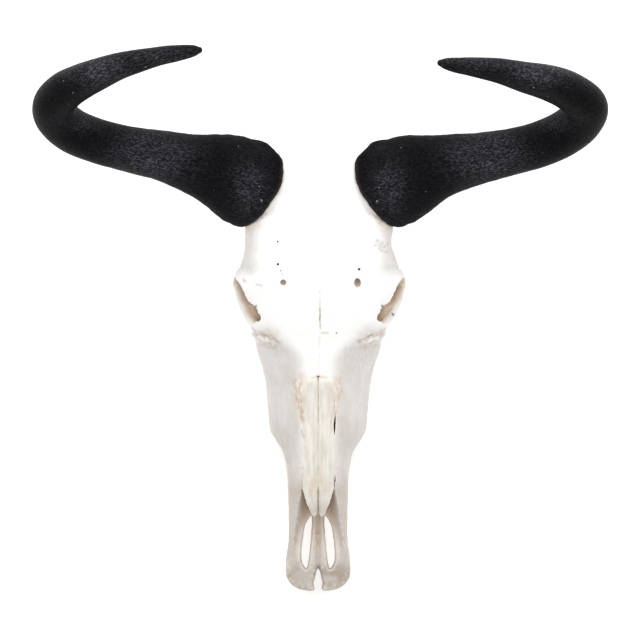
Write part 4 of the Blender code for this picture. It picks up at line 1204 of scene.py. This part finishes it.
def bone_paint(name, fresh, warmth, streaky=0.0):
    """Bleached bone: chalky white with grey, tan and brown where its tints say, painted shade among them, a
    painted highlight on edges, fine pores and fibres.
    """
    paint = Paint(name)
    plain = paint.place()
    fibres = paint.noise(paint.place((1.0, 0.16, 0.6)), 420, 3, 0.6)
    mottle = paint.noise(plain, 38, 5, 0.6)
    blotch = paint.remap(mottle, 0.42, 0.62)
    fine = paint.noise(plain, 700, 2, 0.6)
    colour = paint.blend(paint.remap(mottle, 0.4, 0.75, 0.0, warmth), fresh, rgb(226, 217, 190))
    bands = paint.noise(paint.place((1.0, 0.1, 0.6)), 280, 3, 0.6)
    colour = paint.blend(paint.remap(bands, 0.36, 0.68, 0.0, streaky), colour, rgb(250, 249, 246))
    # painted shade in grey where the grey tint says, with darker fibre streaks in it, and the grey of some
    # marks
    grey_share = paint.times(paint.attribute("grey"), paint.remap(mottle, 0.3, 0.7, 0.75, 1.0))
    colour = paint.blend(grey_share, colour, rgb(201, 196, 189))
    streaks = paint.times(paint.remap(fibres, 0.5, 0.75, 0.0, 0.45), paint.attribute("grey"))
    colour = paint.blend(streaks, colour, rgb(184, 177, 168))
    # tan where the tan tint says: stains, and painted shade on down-facing faces, on the muzzle and around
    # the folds
    tan_share = paint.times(paint.attribute("tan"), paint.remap(mottle, 0.3, 0.6, 0.65, 1.0))
    colour = paint.blend(tan_share, colour, rgb(212, 183, 153))
    # painted shade: brown in dents
    painted_hollow_shade_share = paint.times(paint.attribute("painted_hollow_shade"), paint.remap(blotch, 0, 1, 0.3, 0.7))
    colour = paint.blend(painted_hollow_shade_share, colour, rgb(190, 162, 128))
    # brown where the dark tint says: seams, specks and stains, and painted shade and shadow
    colour = paint.blend(paint.attribute("dark"), colour, rgb(72, 50, 36))
    # painted highlight: edges lighter
    colour = paint.blend(paint.times(paint.attribute("edge"), 0.35), colour, rgb(250, 247, 238))
    speckle = paint.add("TexVoronoi", {"Vector": plain, "Scale": 170.0, "Randomness": 1.0})
    pores = paint.times(paint.remap(speckle, 0.05, 0.16, 1.0, 0.0), paint.remap(mottle, 0.5, 0.65))
    colour = paint.blend(paint.times(pores, 0.3), colour, rgb(170, 148, 120))
    normal = paint.bump(fibres, 0.25, 0.0004)
    normal = paint.bump(fine, 0.3, 0.0002, normal)
    normal = paint.bump(paint.add("Math", {0: 1.0, 1: pores}, operation="SUBTRACT"), 0.35, 0.0004, normal)
    return paint.finish(colour, paint.remap(mottle, 0.3, 0.7, 0.5, 0.68), normal, Specular_IOR_Level=0.35)


def horn_paint(name):
    """Black horn: short light scratches along the grain, rough at the base and polished at the tip, and grey
    patches of painted sheen.
    """
    paint = Paint(name)
    grain = paint.attribute("grain", "Vector")
    along = paint.attribute("along")
    streak = paint.noise(paint.place((1, 1, 0.35), grain), 0.85, 3, 0.65)
    stipple = paint.noise(paint.place((1, 1, 0.6), grain), 1.2, 2, 0.6)
    cloud = paint.noise(paint.place((1, 1, 0.5), grain), 0.045, 4, 0.6)
    flecks = paint.noise(paint.place((1, 1, 0.7), grain), 0.42, 1, 0.4)
    rough_share = paint.remap(along, 0.3, 0.55, 1.0, 0.35)
    # painted sheen: grey patches, in which the scratches show more
    patch = paint.times(paint.attribute("wear_and_painted_sheen"), paint.remap(cloud, 0.36, 0.58, 0.45, 1.0))
    scratched = paint.add("Math", {0: patch, 1: 0.05}, operation="ADD", use_clamp=True)
    marks = paint.times(paint.remap(streak, 0.49, 0.59), scratched)
    dots = paint.times(paint.remap(stipple, 0.5, 0.62), rough_share)
    colour = paint.blend(patch, rgb(3, 3, 5), rgb(34, 34, 39))
    colour = paint.blend(paint.times(marks, 0.75), colour, rgb(106, 106, 114))
    colour = paint.blend(paint.times(dots, 0.1), colour, rgb(66, 67, 74))
    colour = paint.blend(paint.remap(flecks, 0.79, 0.81, 0.0, 0.7), colour, rgb(180, 176, 170))
    colour = paint.blend(paint.remap(along, 0.0, 0.008, 0.4, 0.0), colour, rgb(74, 60, 50))
    roughness = paint.remap(along, 0.2, 0.75, 0.6, 0.4)
    normal = paint.bump(streak, 0.8, 0.0012)
    normal = paint.bump(stipple, 0.6, 0.001, normal)
    return paint.finish(colour, roughness, normal, Specular_IOR_Level=0.06)


def tooth_paint(name):
    """Ivory enamel with brown stain in its grooves and on the face that wear has ground down."""
    paint = Paint(name)
    plain = paint.place()
    mottle = paint.noise(plain, 160, 4, 0.6)
    lines = paint.noise(paint.place((1, 1, 0.2)), 500, 2, 0.5)
    colour = paint.blend(paint.remap(mottle, 0.4, 0.7), rgb(232, 220, 194), rgb(205, 182, 142))
    colour = paint.blend(paint.times(paint.attribute("neck"), 0.6), colour, rgb(186, 158, 118))
    wear_and_painted_sheen = paint.times(paint.attribute("wear_and_painted_sheen"), paint.remap(mottle, 0.35, 0.65, 0.4, 1.0))
    colour = paint.blend(wear_and_painted_sheen, colour, rgb(132, 96, 62))
    return paint.finish(colour, paint.remap(mottle, 0.3, 0.7, 0.28, 0.45), paint.bump(lines, 0.3, 0.0003))


def floor_paint():
    """White paper, lit a little from below like a light table."""
    paint = Paint("pale_floor")
    paper = paint.noise(paint.place(), 300, 2, 0.5)
    return paint.finish((0.94, 0.94, 0.94, 1), 0.9, paint.bump(paper, 0.05, 0.0002), Specular_IOR_Level=0.1,
                        Emission_Color=(1, 1, 1, 1), Emission_Strength=0.3)


# The object


def placed(obj, node, slot, material):
    """Seats a piece, which then stands for the CAD node and takes its material."""
    seated(obj)
    obj.data.materials.clear()
    obj.data.materials.append(material)
    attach(obj, "root")
    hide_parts(node)


def build():
    bone = bone_paint("bleached_bone", rgb(250, 249, 249), 0.12)
    nose = bone_paint("nose_bone", rgb(210, 206, 195), 0.6, 0.6)
    horn = horn_paint("black_horn")
    enamel = tooth_paint("tooth_enamel")

    bones = fused_bones()
    regions = (
        ("nasal_bone", "nose_bone", nose_bone_region, nose, SUTURE_GAP),
        ("premaxilla", "bone", lip_bone_region, bone, LIP_GAP),
    )
    for part, slot, region, material, gap in regions:
        for side, name in ((1, "right"), (-1, "left")):
            piece = bones.copy()
            piece.data = bones.data.copy()
            piece.name = f"{part}_{name}_bone"
            bpy.context.scene.collection.objects.link(piece)
            boolean(piece, [region(side, 0.0)], "INTERSECT")
            piece = dress_bone(largest_body(piece))
            placed(piece, f"{part}_{name}", slot, material)
        boolean(bones, [region(side, gap) for side in BOTH])
        bones = largest_body(bones)
    horns = ((1, "right", HORN_RIGHT), (-1, "left", HORN_LEFT))
    boolean(bones, [horn_seat(path, side) for side, _, path in horns])
    bones = largest_body(bones)
    placed(dress_bone(thinned(bones)), "cranium", "bone", bone)
    for side, name, path in horns:
        placed(horn_sheath(f"horn_{name}_sheath", path, side), f"horn_{name}", "horn", horn)
        for index, row in enumerate(TEETH):
            placed(tooth(f"{row[0]}_{name}_crown", index, side), f"{row[0]}_{name}", "teeth", enamel)


# The camera, the light and the floor

CAMERA_DISTANCE = 5.0
VIEW_CENTRE = Vector((0.0007, 0.0040, 0.1448))
VIEW_WIDTH = 0.672
SENSOR = 36.0
SUN_STRENGTH, SUN_ANGLE = 1.9, math.radians(80)
SUN_DIRECTION = Vector((0.03, 0.55, 1.0))
SKY_STRENGTH = 0.65
FLOOR_HALF = 8.0


def set_stage():
    scene = bpy.context.scene
    camera = bpy.data.objects.new("camera", bpy.data.cameras.new("camera"))
    scene.collection.objects.link(camera)
    camera.data.sensor_width = SENSOR
    camera.data.lens = SENSOR * CAMERA_DISTANCE / VIEW_WIDTH
    camera.rotation_euler = (REST_TILT, 0, 0)
    camera.location = VIEW_CENTRE + CAMERA_DISTANCE * Vector((0, -math.sin(REST_TILT), math.cos(REST_TILT)))
    camera.data.clip_end = 50
    scene.camera = camera

    corners = np.array([(-1, -1, 0), (1, -1, 0), (1, 1, 0), (-1, 1, 0)]) * FLOOR_HALF
    floor = as_object("floor", (corners, [(0, 1, 2, 3)]))
    floor.data.materials.append(floor_paint())

    sun = bpy.data.objects.new("soft_sun", bpy.data.lights.new("soft_sun", "SUN"))
    sun.data.energy = SUN_STRENGTH
    sun.data.angle = SUN_ANGLE
    sun.rotation_euler = SUN_DIRECTION.to_track_quat("Z", "Y").to_euler()
    scene.collection.objects.link(sun)

    world = bpy.data.worlds.new("studio")
    scene.world = world
    world.use_nodes = True
    background = world.node_tree.nodes["Background"]
    background.inputs["Color"].default_value = (1.0, 1.0, 1.0, 1)
    background.inputs["Strength"].default_value = SKY_STRENGTH
    scene.view_settings.view_transform = "Standard"
    scene.view_settings.look = "None"


build()
set_stage()
